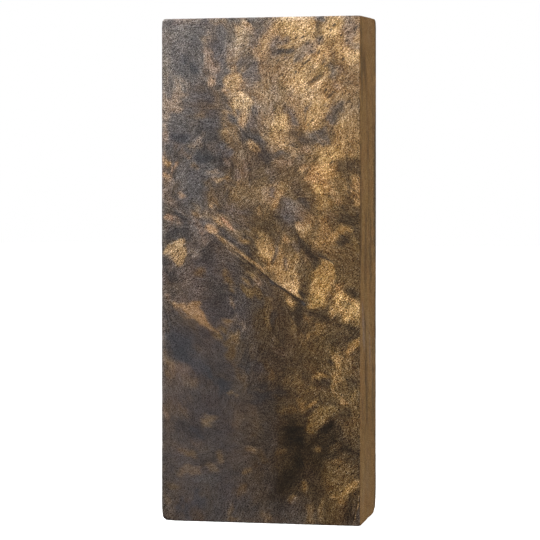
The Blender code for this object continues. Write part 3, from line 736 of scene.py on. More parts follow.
# Glazes over the front, laid on before the crisp things: how much lighter, warmer and redder each makes
# it. The broad lighter and greyer glazes over the top, strongest at the top left, are painted sheen; the
# broad darker ones at the foot are painted shade where the light falls off; the edge glaze is a painted
# highlight along the top and left edges. The small glazes change the wood's own tone.
GLAZES = {
    "bright": (0.08, 0.05, 0.0),
    "dim": (-0.08, 0.0, 0.0),
    "warm": (0.0, 0.5, 0.0),
    "cool": (0.0, -0.3, 0.0),
    "green": (0.0, 0.0, -0.08),
    "red": (0.0, 0.0, 0.05),
    # A painted highlight along the edges: lighter and greyer
    "rim": (0.09, -0.4, 0.0),
}
FRONT_GLAZES = in_order(
    # Lighter glazes: the broad ones over the top are painted sheen from the lamp at the upper left
    touch("bright", 14, [(38, 116), (36, 96)], soft=10, strength=0.8),
    touch("bright", 11, [(47, 127), (47, 104)], soft=8, strength=1.3),
    touch("bright", 8, [(15, 112), (24, 106), (22, 100)], soft=8, strength=0.9),
    touch("bright", 10, [(49, 90), (48, 76)], soft=7, strength=0.5),
    touch("bright", 8, [(17, 126), (22, 121)], [(17, 88), (16, 78)], soft=6, strength=0.6),
    touch("bright", 7, [(3, 90), (3, 84)], [(3, 26), (3, 20)], soft=5, strength=0.8),
    touch("dim", 8, [(38, 124), (42, 122)], soft=6, strength=0.35),
    # Darker glazes at the foot: painted shade, where the light falls off towards the bottom
    touch("dim", 16, [(42, 42), (42, 4)], soft=10, strength=0.8),
    touch("dim", 14, [(30, 48), (30, 4)], soft=10, strength=0.9),
    touch("dim", 7, [(16, 34), (12, 22)], [(36, 70), (42, 68)], soft=7, strength=0.4),
    touch("warm", 14, [(46, 116), (45, 98), (40, 88)], soft=9, strength=0.5),
    touch("warm", 16, [(47, 90), (44, 78), (46, 62)], soft=9, strength=1.3),
    touch("warm", 20, [(42, 62), (46, 52), (46, 36), (42, 24), (45, 4)], soft=10, strength=2.1),
    touch("warm", 9, [(36, 60), (37, 46)], [(33, 103), (33, 99)], [(34, 26), (33, 8)], soft=6,
          strength=0.8),
    touch("warm", 12, [(28, 78), (28, 44), (30, 30)], soft=8, strength=0.7),
    touch("warm", 9, [(24, 70), (20, 62)], soft=7, strength=0.4),
    # Greyer glazes: the broad ones at the top left, and faintly at the lower left, are painted sheen
    touch("cool", 22, [(6, 124), (8, 112)], soft=12, strength=0.9),
    touch("cool", 8, [(13, 124), (18, 121)], soft=6, strength=0.9),
    touch("cool", 18, [(6, 36), (10, 6)], soft=12, strength=0.25),
    touch("dim", 3.6, [(42, 121.2), (46, 120.4)], soft=3),
    touch("dim", 5, [(30, 116.6), (32.6, 116)], [(38.4, 104), (41, 99)], [(46, 45), (50, 45.6)],
          [(45, 18), (50, 18)], [(23, 78), (31, 78)], soft=4, strength=0.8),
    touch("dim", 5, [(39, 67), (42, 65)], [(7, 63), (8, 58)], [(11, 39.4), (17, 36)], soft=4,
          strength=0.6),
    touch("bright", 4, [(20.6, 118.4), (26, 118)], [(36, 60.4), (38, 59)], soft=3, strength=0.9),
    touch("bright", 4.5, [(12, 123), (19, 124)], [(12, 105), (16, 105)], [(31.6, 87), (34, 88)], soft=4,
          strength=0.6),
    touch("bright", 8, [(28, 123), (42, 123)], [(34, 42), (35, 31)], soft=6, strength=0.4),
    touch("bright", 5, [(15, 68.6), (23, 67)], soft=4, strength=0.6),
    touch("dim", 6, [(16, 115), (16, 111)], [(28, 4), (35, 4)], soft=5, strength=0.4),
    # Painted sheen: greyer over the upper part of the front
    touch("cool", 10, [(22, 104.5), (50, 104.5)], [(22, 125), (22, 112)], soft=8, strength=0.8),
    touch("cool", 7, [(2, 88), (3, 66)], soft=6, strength=0.4),
    touch("warm", 7, [(12, 70), (17, 67)], [(40, 50), (48, 50)], [(30, 38), (42, 36)],
          [(48, 30), (48, 4)], soft=6, strength=0.3),
    touch("cool", 8, [(22, 40), (22, 22)], [(49, 115), (49, 104)], [(22, 105), (22, 95)],
          [(34, 104), (34, 95)], soft=7, strength=0.5),
    touch("bright", 8, [(30, 33), (38, 23)], [(4, 13), (13, 5)], soft=7, strength=0.35),
    touch("dim", 8, [(48, 35), (48, 12)], soft=7, strength=0.4),
    touch("bright", 7, [(16, 66), (15, 60)], soft=6, strength=0.3),
    touch("green", 10, [(30, 86), (30, 78)], soft=9),
    touch("red", 10, [(21, 108), (21, 96)], soft=9),
    touch("red", 6, [(4, 55), (9, 53), (13, 49)], soft=4, strength=3.0),
    touch("cool", 8, [(48, 117), (48, 102)], soft=6, strength=0.3),
    # Painted highlight along the top and left edges, lighter and greyer
    touch("rim", 2, [(-8, 127.2), (59, 127.2)], [(-0.2, 134), (-0.2, -7)], soft=1.4),
    touch("bright", 5, [(35, 33), (43, 32)], soft=5, strength=0.5),
)

# The narrow side to the right: plain brown with long soft streaks, in millimetres back from
# the front and up from the foot
SIDE_GROUND = (0.585, 1.3, 0.03)
RIGHT_SIDE = in_order(
    touch("buff", 5, [(14, 127), (14, 121)], [(4, 50), (5, 45)], [(12, 53), (13, 45)],
          [(12, 20), (12, 1)], [(4, 17), (4, 1)], soft=4, strength=0.8),
    touch("olive", 3, [(2, 127), (2.6, 117), (3, 106)], [(23, 98), (22, 66)], [(20, 44), (20, 18)],
          soft=2, strength=0.9),
    touch("chestnut", 3.4, [(7, 118), (7.4, 111)], [(12, 104), (12, 90)], [(10, 40), (11, 24)], soft=2.4,
          strength=0.8),
    touch("bark", 2, [(0.8, 96), (0.7, 74), (0.8, 56)], soft=1.8, strength=0.45),
    touch("amber", 3.4, [(11, 112), (11.4, 96)], [(3.6, 92), (4.2, 80)], [(17, 124), (17, 104)], soft=2.4,
          strength=0.8),
    touch("bark", 4.4, [(9, 78), (8, 66), (9, 58)], [(16, 76), (16, 58)], soft=4, strength=0.4),
    touch("tan", 9, [(8, 54), (9, 34)], [(12, 22), (12, 0)], [(10, 127), (10, 119)], soft=6,
          strength=0.4),
    touch("walnut", 2.6, [(19, 112), (20, 92)], [(4, 34), (4.6, 22)], soft=2, strength=0.7),
    touch("dusk", 3.2, [(3, 56), (5, 50), (5.6, 44)], [(15, 46), (16, 36)], soft=2, strength=0.8),
    touch("umber", 1.4, [(5.4, 55), (8.4, 49), (9.6, 42), (8, 36)], soft=1.4, strength=0.4),
    touch("umber", 1.2, [(10, 120), (10.6, 96)], [(14, 92), (13, 76)], [(17, 32), (16.4, 10)],
          [(7, 30), (7.4, 12)], soft=1.2, strength=0.25),
)

# The fibres' and the pores' width in millimetres, and how many times longer they are
FIBRE = (0.4, 6.0)
PORE = (0.24, 5.0)

# How fine and how rough their noise is, and where it turns into a dark pore. Each set of cells
# reads it so many millimetres further on, and the pores further still
FIBRE_DETAIL = 3.0
FIBRE_ROUGHNESS = 0.65
PORE_RANGE = (0.63, 0.71)
SET_STEP = 3.1
PORE_STEP = 50.0

# Strokes that follow the grain of the front as it curls round the burl's eyes, on the sheet
FRONT_FLOW = (
    [(1, 123), (6, 124.6), (14, 124.8)], [(2, 119), (6, 121)], [(15.5, 127), (15.6, 122)],
    [(18, 119), (20.5, 121.5)], [(20, 125.5), (23, 124)], [(25, 118), (30, 125)],
    [(29, 118.4), (33, 119.6)], [(31, 120), (36, 124.6), (40, 127)], [(37, 119), (42, 126)],
    [(40, 117), (43.4, 123), (46, 127)], [(46, 121), (50, 126)], [(45, 117), (50, 119.6)],
    [(8, 119), (12, 112)], [(6, 113), (6.6, 108)], [(11, 114), (11.6, 109)],
    [(2, 114), (4, 117)], [(14, 110), (16, 114)], [(17, 113), (20.6, 116)],
    [(16, 111), (25, 111)], [(18, 109), (25, 109.2)], [(26.6, 114), (27.6, 108)],
    [(29, 108), (33, 114), (38, 120)], [(35, 109), (39, 114), (42, 119)],
    [(37, 109), (41, 111.4), (44, 114)], [(42, 106), (47, 112)], [(46, 112), (50, 116)],
    [(49, 110), (50.8, 110.4)], [(1, 111), (1.6, 106)], [(4, 107), (10, 108.4)],
    [(5, 102.6), (12, 103), (17, 102)], [(9, 105.4), (15, 105.6)],
    [(17, 105), (19.4, 101), (22, 96.6)], [(20.6, 99), (24, 97), (28, 94)],
    [(24, 100), (28, 96.6)], [(22, 107), (21.8, 100)], [(25, 106), (24.4, 101)],
    [(28, 102), (30, 105)], [(31, 99), (30.6, 103)], [(36, 99), (39, 106)],
    [(38, 97.6), (43, 104)], [(44, 102), (47, 106)], [(34, 96.4), (42, 97.4)],
    [(46, 104), (45, 98), (44, 94)], [(49, 101), (49.2, 93)], [(7, 95), (10, 99)],
    [(2, 100), (6, 99.4)], [(11, 94), (16, 96)], [(2.6, 84), (3.4, 91)],
    [(5, 87), (9, 91.4)], [(10, 91), (16, 92.6)], [(13, 86), (17, 88.6)],
    [(19.4, 92), (19.6, 86)], [(22, 87), (23, 92)], [(25, 88.6), (32, 90.6)],
    [(31, 86), (36, 91)], [(37, 90), (41, 92.6)], [(40.6, 90), (44, 94)],
    [(37, 86), (44, 86.4)], [(47, 90), (47.4, 84)], [(4, 82), (8, 84.4)],
    [(10, 80), (12.4, 84)], [(16, 79), (16.8, 84)], [(20, 80), (24, 84)],
    [(25, 79), (29, 84)], [(31, 80), (31.6, 84.6)], [(34, 81), (45, 80.4)],
    [(46, 83), (50.8, 79.4)], [(45, 80), (50, 77)], [(2, 81), (9, 77.4), (13, 74.6)],
    [(14, 78), (20, 73.4)], [(22, 77), (26, 76)], [(27, 80), (26.6, 76)],
    [(30, 77), (34, 76)], [(35, 79), (38, 77.4)], [(4, 64), (9, 69), (13, 72.6)],
    [(2, 71), (5, 72.6)], [(15, 72), (20, 68), (26, 63.6), (36, 56)],
    [(16, 76), (23, 70), (26, 67)], [(26, 66), (27, 71)], [(29, 63), (30, 70), (32, 74)],
    [(32, 62), (36, 69)], [(35.6, 75), (36.6, 71)], [(38, 72), (44, 73.4)],
    [(39, 69), (44, 66)], [(45, 73), (50, 71)], [(46, 69), (49, 65)],
    [(10, 66), (18, 64.4)], [(10, 60), (18, 59)], [(40, 57), (44, 62)],
    [(43.4, 58), (46, 61)], [(44, 52), (47, 57)], [(47, 51), (50.6, 56)],
    [(37, 54), (43, 53.6)], [(39, 47.6), (44.6, 51)], [(30, 57.4), (36, 54)],
    [(29, 55), (29, 48)], [(32, 53), (32.4, 45)], [(34, 45), (36.6, 51)],
    [(20, 48), (21, 55)], [(24, 46), (26, 52)], [(2, 55.6), (10.6, 55.8)],
    [(3, 54.6), (8, 50.8), (15, 47.6)], [(4, 60), (8, 63)], [(13, 52), (18, 50)],
    [(17, 47), (19, 50.6)], [(1, 52), (1.6, 40)], [(5, 48), (12, 44.6)],
    [(7, 43), (7.8, 36)], [(11, 40), (19, 37.6)], [(13, 36), (12.4, 30)],
    [(23, 38), (25, 44)], [(27, 34), (31, 38)], [(29, 42), (33, 41)],
    [(36, 42), (38, 46.6)], [(46, 42), (50.6, 47)], [(44, 35), (44.6, 43)],
    [(46, 40), (50, 36)], [(34, 34), (38, 39)], [(40, 38), (43, 35)],
    [(4, 35), (7, 29)], [(2, 30), (3.4, 22)], [(9, 26), (16, 25)], [(17, 24), (18, 30)],
    [(19, 22.4), (26, 19.6)], [(25, 32), (31, 32.4)], [(24, 29), (28, 28.4)],
    [(27, 27), (31, 25)], [(32, 23), (38, 23.4)], [(37, 29), (41, 32)],
    [(40, 24), (45, 28.6)], [(42, 33), (46, 30)], [(48.6, 24), (49, 34)],
    [(20, 33), (24, 36)], [(2, 17.4), (16, 18)], [(3, 12), (10, 13.4), (17, 15)],
    [(8, 2), (10, 6)], [(3, 4), (6, 8)], [(17, 9), (22, 14)], [(19, 3), (21, 9)],
    [(23, 4), (26, 10)], [(28, 17), (33, 21)], [(28, 4), (30, 12)],
    [(33, 6), (37, 12), (40, 15)], [(39, 1), (39.4, 6), (41, 14)], [(36, 20), (38.6, 15.6)],
    [(42, 1), (42.6, 8)], [(43, 7), (46, 8.6)], [(42, 14.6), (47, 17)],
    [(44, 4), (47, 8.6), (50.8, 12.4)], [(48.4, 1), (49.6, 8)], [(46, 19), (50, 21)],
    [(12, 2), (14, 7)],
)
FLOW_REACH = 1.5

# The grain is combed in square cells, in four sets that overlap by half. Each cell is combed
# one way, and fades out by its border, where the other sets are strongest. No place counts
# as weaker than the last value
CELL = 4.4
CELL_SETS = ((0.0, 0.0), (0.5, 0.0), (0.0, 0.5), (0.5, 0.5))
CELL_FADE = 0.12
CELL_WEAKEST = 0.05

# How strong the fine grain is: quiet in the dark lower left, sharp where the wood is golden
GRIT = {"quiet": (0.5,), "even": (1.0,), "sharp": (1.05,), "harsh": (1.45,)}
SIDE_GRIT = 0.7
END_GRIT = 0.6
FRONT_GRIT = in_order(
    touch("sharp", 30, [(38, 127), (38, 60)], soft=14),
    touch("sharp", 20, [(24, 110), (28, 70)], soft=10),
    touch("harsh", 14, [(46, 60), (47, 34), (46, 10)], soft=8),
    touch("quiet", 26, [(10, 48), (10, 6)], soft=10),
    touch("quiet", 20, [(24, 26), (24, 4)], soft=10, strength=0.5),
)

# Streaks along the grain, in millimetres: their widths and how much each adds, how many times
# longer than wide they are, how far they bend over what length, how strong they are in the
# darkest wood, how much stronger in pale wood, and the share of that on the narrow sides
STREAK_WIDTHS = ((1.5, 0.55), (0.75, 0.4))
STREAK_LENGTH = 8.0
STREAK_BEND = 0.5
STREAK_BEND_WAVE = 3.0
STREAK_DEPTH = 0.03
STREAK_RISE = 0.02
SIDE_STREAK = 0.7

# Veins: thin wisps that curl round the burl's eyes. How far apart they lie in millimetres, how
# thin they are, how much each lightens or darkens the wood, and how far they bend
VEINS = ((6.0, 0.10, -0.07), (3.2, 0.13, -0.05), (4.4, 0.12, 0.03))
VEIN_BEND = ((1.8, 5.0), (0.7, 2.2))

# Where the veins break off, over what share of their spacing, how strong they are in the
# darkest wood, and how much stronger in pale wood
VEIN_BREAK = (-0.3, 0.5)
VEIN_BREAK_WAVE = 0.8
VEIN_DEPTH = 0.35
VEIN_RISE = 1.3

# How far the streaks push a mark's border, as a share of its softness, the most softness that
# counts, and how much of it is left for lines this narrow
FEATHER = 0.9
FEATHER_MOST = 2.5
FINE_WIDTH = 0.6
FINE_FEATHER = 0.45

# How much narrower a streak is at its ends, how many times longer than wide it has to be for
# all of that, and how many softnesses past its border a mark is looked for
TAPER = 0.75
SLENDER = 3.0
BORDER_REACH = 2.5

# Large numbers that scatter a lattice cell's place and seed, and the most that 32 bits hold
SCATTER = (374761393, 668265263, 1274126177)
SEED_SCATTER = 1442695041
LAST_SCATTER = 2246822519
LARGEST = 0xFFFFFFFF


def smooth_step(low, high, value):
    """0 below low, 1 above high, and an even curve between them."""
    share = np.clip((value - low) / (high - low), 0.0, 1.0)
    return share * share * (3.0 - 2.0 * share)


def lattice_value(cell, seed):
    """A steady random number from -1 to 1 for each cell of a lattice."""
    with np.errstate(over="ignore"):
        value = cell[:, 0] * SCATTER[0] + cell[:, 1] * SCATTER[1] + cell[:, 2] * SCATTER[2]
        value = (value + seed * SEED_SCATTER) & LARGEST
        value = ((value ^ (value >> 13)) * SCATTER[2]) & LARGEST
        value = ((value ^ (value >> 16)) * LAST_SCATTER) & LARGEST
    return (value ^ (value >> 15)) / (LARGEST / 2) - 1.0


def cloud(points, wave, seed):
    """Soft noise from -1 to 1 at each point, with lumps about one wave apart."""
    spot = points / wave
    cell = np.floor(spot).astype(np.int64)
    part = spot - cell
    part = part * part * (3.0 - 2.0 * part)
    total = np.zeros(len(points))
    for corner in np.ndindex(2, 2, 2):
        share = np.prod(np.where(corner, part, 1.0 - part), axis=1)
        total += share * lattice_value(cell + corner, seed)
    return total


def on_sheet(across, up):
    """Sheet places as points that the noise can read."""
    return np.stack([across, np.zeros(len(across)), up], axis=1)


# The hand that draws wanders by this much, in millimetres, over these lengths
WANDER = ((0.35, 3.2), (0.28, 1.4), (0.14, 0.7))
LINE_WANDER = 0.3


def wandered(across, up, seed):
    """Sheet places nudged by noise, so that what is drawn there has uneven borders."""
    places = on_sheet(across, up)
    for index, (reach, wave) in enumerate(WANDER):
        across = across + reach * cloud(places, wave, seed + 2 * index)
        up = up + reach * cloud(places, wave, seed + 2 * index + 1)
    return across, up


def along_route(across, up, route):
    """Each place's distance to a route, and how far along the route it is, from 0 to 1."""
    distance = np.full(len(across), 1e9)
    passed = np.zeros(len(across))
    spans = [math.dist(*pair) for pair in zip(route, route[1:])]
    whole = sum(spans)
    travelled = 0.0
    for (x0, y0), (x1, y1), span in zip(route, route[1:], spans):
        share = ((across - x0) * (x1 - x0) + (up - y0) * (y1 - y0)) / (span * span)
        share = np.clip(share, 0.0, 1.0)
        gap = np.hypot(across - x0 - share * (x1 - x0), up - y0 - share * (y1 - y0))
        nearer = gap < distance
        distance = np.where(nearer, gap, distance)
        passed = np.where(nearer, (travelled + share * span) / whole, passed)
        travelled += span
    return distance, passed


def inside_outline(across, up, outline):
    """Whether each place lies inside a closed outline."""
    inside = np.zeros(len(across), bool)
    for (x0, y0), (x1, y1) in zip(outline, (*outline[1:], outline[0])):
        crosses = (y0 > up) != (y1 > up)
        rise = y1 - y0 if y1 != y0 else 1e-9
        inside ^= crosses & (across < (x1 - x0) * (up - y0) / rise + x0)
    return inside


def coverage(mark, across, up, feather):
    """How much of a mark's tone each place takes, from 0 to 1."""
    edge = feather * FEATHER * min(mark.soft, FEATHER_MOST)
    if mark.width and mark.width < FINE_WIDTH:
        edge *= FINE_FEATHER
    if mark.closed:
        distance, _ = along_route(across, up, (*mark.route, mark.route[0]))
        depth = np.where(inside_outline(across, up, mark.route), -distance, distance) + edge
        return mark.strength * (1.0 - smooth_step(-mark.soft / 2, mark.soft / 2, depth))
    distance, passed = along_route(across, up, mark.route)
    length = sum(math.dist(*pair) for pair in zip(mark.route, mark.route[1:]))
    slender = min(1.0, length / (SLENDER * mark.width))
    half = mark.width / 2 * (1.0 - TAPER * slender * np.abs(2.0 * passed - 1.0) ** 2)
    depth = distance - half + edge
    return mark.strength * (1.0 - smooth_step(-mark.soft / 2, mark.soft / 2, depth))


def draw(marks, names, ground, across, up, seed, feather=None, wander=1.0):
    """Draws marks one over another on a ground, and reads the result at each place."""
    result = np.array(ground, float) * np.ones((len(across), 1))
    feather = np.zeros(len(across)) if feather is None else feather
    drawn_across, drawn_up = wandered(across, up, seed)
    drawn_across = across + (drawn_across - across) * wander
    drawn_up = up + (drawn_up - up) * wander
    for mark in marks:
        reach = (mark.width + BORDER_REACH * mark.soft) / 2
        xs, ys = zip(*mark.route)
        near = (drawn_across > min(xs) - reach) & (drawn_across < max(xs) + reach)
        near &= (drawn_up > min(ys) - reach) & (drawn_up < max(ys) + reach)
        share = coverage(mark, drawn_across[near], drawn_up[near], feather[near])[:, None]
        result[near] += (np.array(names[mark.tone]) - result[near]) * share
    return result


def flow_angle(across, up, strokes):
    """The grain's angle at each place, read from the strokes that lie nearest to it."""
    doubled = np.zeros((2, len(across)))
    for stroke in strokes:
        for start, end in zip(stroke, stroke[1:]):
            distance, _ = along_route(across, up, (start, end))
            turn = 2.0 * math.atan2(end[1] - start[1], end[0] - start[0])
            weight = 1.0 / (distance**2 + FLOW_REACH**2) ** 2
            doubled += weight * np.array([[math.cos(turn)], [math.sin(turn)]])
    return np.arctan2(doubled[1], doubled[0]) / 2.0


def front_angle(across, up):
    """The angle of the front's grain."""
    return flow_angle(across, up, FRONT_FLOW)


def combed(across, up, angle_at):
    """For each set of cells: how far along and across the grain each place is, and its share."""
    combs = []
    for shift_across, shift_up in CELL_SETS:
        middle_across = (np.floor(across / CELL + shift_across) - shift_across + 0.5) * CELL
        middle_up = (np.floor(up / CELL + shift_up) - shift_up + 0.5) * CELL
        cells, which = np.unique(
            np.stack([middle_across, middle_up], axis=1), axis=0, return_inverse=True
        )
        angle = angle_at(cells[:, 0], cells[:, 1])[which.ravel()]
        near = (1.0 - 2.0 * np.abs(across - middle_across) / CELL) * (
            1.0 - 2.0 * np.abs(up - middle_up) / CELL
        )
        share = np.clip((near - CELL_FADE) / (1.0 - CELL_FADE), 0.0, 1.0)
        along = across * np.cos(angle) + up * np.sin(angle)
        aside = up * np.cos(angle) - across * np.sin(angle)
        combs.append(np.stack([along, aside, share], axis=1))
    power = np.sqrt(sum(comb[:, 2] ** 2 for comb in combs))
    for comb in combs:
        comb[:, 2] /= np.maximum(power, CELL_WEAKEST)
    return combs


def glazed(figure, across, up):
    """Lays the front's glazes over its figure: each adds to the tone that lies under it."""
    for mark in FRONT_GLAZES:
        share = coverage(mark, across, up, 0.0)
        figure += share[:, None] * np.array(GLAZES[mark.tone])
    return figure


def streaks(across, up, combs, seed):
    """Wavy streaks from -1 to 1 that run along the grain, about a millimetre apart."""
    places = on_sheet(across, up)
    bend = STREAK_BEND * cloud(places, STREAK_BEND_WAVE, seed)
    total = np.zeros(len(across))
    for index, comb in enumerate(combs):
        along, aside, share = comb.T
        for width, weight in STREAK_WIDTHS:
            spots = on_sheet(along / STREAK_LENGTH, aside + bend) / width
            total += weight * share * cloud(spots, 1.0, seed + 7 * index + 2)
    return total


def veins(across, up, seed):
    """Thin curling wisps, dark and pale."""
    places = on_sheet(across, up)
    for index, (reach, wave) in enumerate(VEIN_BEND):
        across = across + reach * cloud(places, wave, seed + 2 * index)
        up = up + reach * cloud(places, wave, seed + 2 * index + 1)
    spots = on_sheet(across, up)
    total = np.zeros(len(across))
    for index, (apart, thin, change) in enumerate(VEINS):
        height = cloud(spots, apart, seed + 10 + index)
        gaps = cloud(places, VEIN_BREAK_WAVE * apart, seed + 20 + index)
        total += change * smooth_step(*VEIN_BREAK, gaps) * np.exp(-((height / thin) ** 2))
    return total


def lined(figure, streak):
    """Lightens and darkens a figure along its streaks."""
    figure[:, 0] += streak * (STREAK_DEPTH + STREAK_RISE * figure[:, 0])
    return figure


def veined(figure, vein):
    """Lightens and darkens a figure at its veins."""
    figure[:, 0] += vein * (VEIN_DEPTH + VEIN_RISE * figure[:, 0])
    return figure


def front_figure(across, up):
    """The figure of the front face: what is drawn, feathered and lined along the grain."""
    streak = streaks(across, up, combed(across, up, front_angle), seed=60)
    figure = draw(FRONT_FIGURE, TONES, GROUND_TONE, across, up, seed=40, feather=streak)
    figure = glazed(figure, across, up)
    figure = draw(LINES, TONES, figure, across, up, seed=45, wander=LINE_WANDER)
    return veined(lined(figure, streak), veins(across, up, seed=80))


# Where the block is divided: close together by its edges, in metres, then evenly between
EDGE_STOPS = (0.0, 0.00006, 0.00016, 0.00030, 0.00050, 0.00080, 0.0012, 0.0018)

# Wear along every edge: its usual radius, how much that varies, and over what lengths
EDGE_RADIUS = 0.00022
EDGE_UNEVEN = 0.45
EDGE_WAVE = 0.004
EDGE_FRAY = 0.35
EDGE_FRAY_WAVE = 0.0009

# The radius that each corner is worn to. Signs say which end of X, Y and Z it is at
CORNER_RADIUS = {
    (-1, -1, 1): 0.0009,
    (-1, -1, -1): 0.0015,
    (1, -1, 1): 0.0004,
    (1, -1, -1): 0.0005,
    (1, 1, 1): 0.0010,
    (1, 1, -1): 0.0019,
    (-1, 1, 1): 0.0008,
    (-1, 1, -1): 0.0012,
}
CORNER_REACH = 2.6

# Small nicks in the edges: how many on each edge, how round, and how far they reach
NICKS_PER_METRE = 45
NICK_RADIUS = (0.0003, 0.0006)
NICK_REACH = (0.0005, 0.0012)

# The hairline check in the front face: distance in from the right side, and height
CHECK_ROUTE = ((0.0006, 0.0076), (0.0010, 0.0042), (0.0019, 0.0011))
CHECK_WIDTH = 0.0002
CHECK_DEPTH = 0.00035
CHECK_TAPER = 0.6
CHECK_MARGIN = 0.00035
CHECK_DIVISIONS = 3

# Lines this narrow on the sheet get closer points, this far round them, and so do the faces
# this near to the front, in metres
THIN_WIDTH = 0.46
THIN_MARGIN = 0.6
FRONT_MARGIN = 0.0006

# Sanded faces wave gently, and the ends keep the saw's shallow ridges
FACE_RELIEF = 0.000012
FACE_RELIEF_WAVE = 0.0016
SAW_RELIEF = 0.00003
SAW_SPACING = 0.0021
SAW_SLANT = 0.3
SAW_BEND = (0.0006, 0.006)
SAWN_FACING = (0.6, 0.95)
NARROW = 1e-9

# How squarely a point has to face one way to count as part of that face: by its edges, well
# inside, and for the hairline check
FACE_FROM = 0.5
FACE_WELL = 0.71
FACE_FLAT = 0.99


def stops(length, spacing):
    """Where a length is divided: its edge stops at both ends, and even ones between."""
    inset = EDGE_STOPS[-1]
    spans = round((length - 2 * inset) / spacing)
    middle = [inset + (length - 2 * inset) * step / spans for step in range(1, spans)]
    far = [length - stop for stop in reversed(EDGE_STOPS)]
    return [stop - length / 2 for stop in (*EDGE_STOPS, *middle, *far)]


def divided_block(spacing):
    """A square block centred on the origin, with every face divided at the stops."""
    bm = bmesh.new()
    bmesh.ops.create_cube(bm, size=1.0)
    rulers = [stops(2 * half, spacing) for half in HALF]
    for axis, ruler in enumerate(rulers):
        along = [e for e in bm.edges if abs(e.verts[0].co[axis] - e.verts[1].co[axis]) > 0.5]
        bmesh.ops.subdivide_edges(bm, edges=along, cuts=len(ruler) - 2, use_grid_fill=True)
    for vertex in bm.verts:
        for axis, ruler in enumerate(rulers):
            vertex.co[axis] = ruler[round((vertex.co[axis] + 0.5) * (len(ruler) - 1))]
    return bm


def divide_faces(bm, faces):
    """Divides each of these faces into four."""
    edges = {edge for face in faces for edge in face.edges}
    bmesh.ops.subdivide_edges(bm, edges=list(edges), cuts=1, use_grid_fill=True)


def front_faces_near(bm, routes):
    """The front faces that lie within reach of a route on the sheet: (route, reach) pairs."""
    front = [f for f in bm.faces if f.calc_center_median().y < -HALF.y + NARROW]
    middles = np.array([f.calc_center_median() for f in front])
    across = (middles[:, 0] + HALF.x) / (2 * HALF.x) * SHEET_WIDTH
    up = (middles[:, 2] + HALF.z) / MM
    near = np.zeros(len(front), bool)
    for route, reach in routes:
        near |= along_route(across, up, route)[0] < reach
    return [face for face, chosen in zip(front, near) if chosen]


def check_on_sheet():
    """The hairline check's route on the sheet."""
    return tuple((SHEET_WIDTH - inset / MM, height / MM) for inset, height in CHECK_ROUTE)


def refined_block(spacing):
    """The divided block, with closer points on the front, under fine lines and at the check."""
    bm = divided_block(spacing)
    near_front = [f for f in bm.faces if f.calc_center_median().y < -HALF.y + FRONT_MARGIN]
    divide_faces(bm, near_front)
    drawn = (*FRONT_FIGURE, *LINES)
    thin = [m for m in drawn if not m.closed and m.width < THIN_WIDTH]
    routes = [(m.route, m.width / 2 + THIN_MARGIN) for m in thin]
    divide_faces(bm, front_faces_near(bm, routes))
    reach = (CHECK_WIDTH / 2 + CHECK_MARGIN) / MM
    for _ in range(CHECK_DIVISIONS):
        divide_faces(bm, front_faces_near(bm, [(check_on_sheet(), reach)]))
    return bm


def nicks():
    """Seeded nicks along the block's twelve edges: a place, a radius and a reach for each."""
    lots = np.random.default_rng(7)
    found = []
    for axis in range(3):
        others = [other for other in range(3) if other != axis]
        for ends in np.ndindex(2, 2):
            for _ in range(round(2 * HALF[axis] * NICKS_PER_METRE)):
                place = np.array(HALF)
                place[axis] *= lots.uniform(-1.0, 1.0)
                place[others[0]] *= 2 * ends[0] - 1
                place[others[1]] *= 2 * ends[1] - 1
                found.append((place, lots.uniform(*NICK_RADIUS), lots.uniform(*NICK_REACH)))
    return found


def wear_radius(points):
    """How round the block is worn near each point: uneven and nicked, and more at corners."""
    uneven = EDGE_UNEVEN * cloud(points, EDGE_WAVE, 11)
    fray = EDGE_FRAY * cloud(points, EDGE_FRAY_WAVE, 12)
    radius = EDGE_RADIUS * (1.0 + uneven + fray)
    worn_places = nicks()
    for ends, corner_radius in CORNER_RADIUS.items():
        worn_places.append((np.array(HALF) * ends, corner_radius, CORNER_REACH * corner_radius))
    for place, worn_radius, reach in worn_places:
        share = smooth_step(0.0, 1.0, 1.0 - np.linalg.norm(points - place, axis=1) / reach)
        radius += (worn_radius - radius) * share
    return radius


def worn(points):
    """Where the square block's points end up once it is worn, and which way each faces."""
    radius = wear_radius(points)[:, None]
    half = np.array(HALF)
    inner = np.clip(points, radius - half, half - radius)
    outward = points - inner
    facing = outward / np.linalg.norm(outward, axis=1)[:, None]
    return inner + facing * radius, facing


def relief(points, facing):
    """How far each point sinks: soft waves from sanding, and the saw's ridges on the ends."""
    waves = 0.5 + 0.5 * cloud(points, FACE_RELIEF_WAVE, 14)
    bend, bend_wave = SAW_BEND
    bent = points[:, 0] + SAW_SLANT * points[:, 1] + bend * cloud(points, bend_wave, 15)
    saw = 0.5 + 0.5 * np.sin(bent * 2.0 * math.pi / SAW_SPACING)
    ends = smooth_step(*SAWN_FACING, np.abs(facing[:, 2]))
    return FACE_RELIEF * waves + SAW_RELIEF * saw * ends


def check_depth(points, facing):
    """How deep the hairline check is at each point: a groove with sloping walls."""
    across, up, _ = sheet_places(points)
    distance, passed = along_route(across, up, check_on_sheet())
    width = CHECK_WIDTH / MM * (1.0 - CHECK_TAPER * np.abs(2.0 * passed - 1.0) ** 2)
    wall = np.clip(1.0 - distance / (width / 2), 0.0, 1.0)
    return CHECK_DEPTH * wall * (facing[:, 1] < -FACE_FLAT)


def sheet_places(points):
    """Millimetres across from the left edge, up from the foot, and back from the front."""
    across = (points[:, 0] / HALF.x + 1.0) / 2 * SHEET_WIDTH
    up = (points[:, 2] / HALF.z + 1.0) / 2 * SHEET_HEIGHT
    back = (points[:, 1] + HALF.y) / MM
    return across, up, back


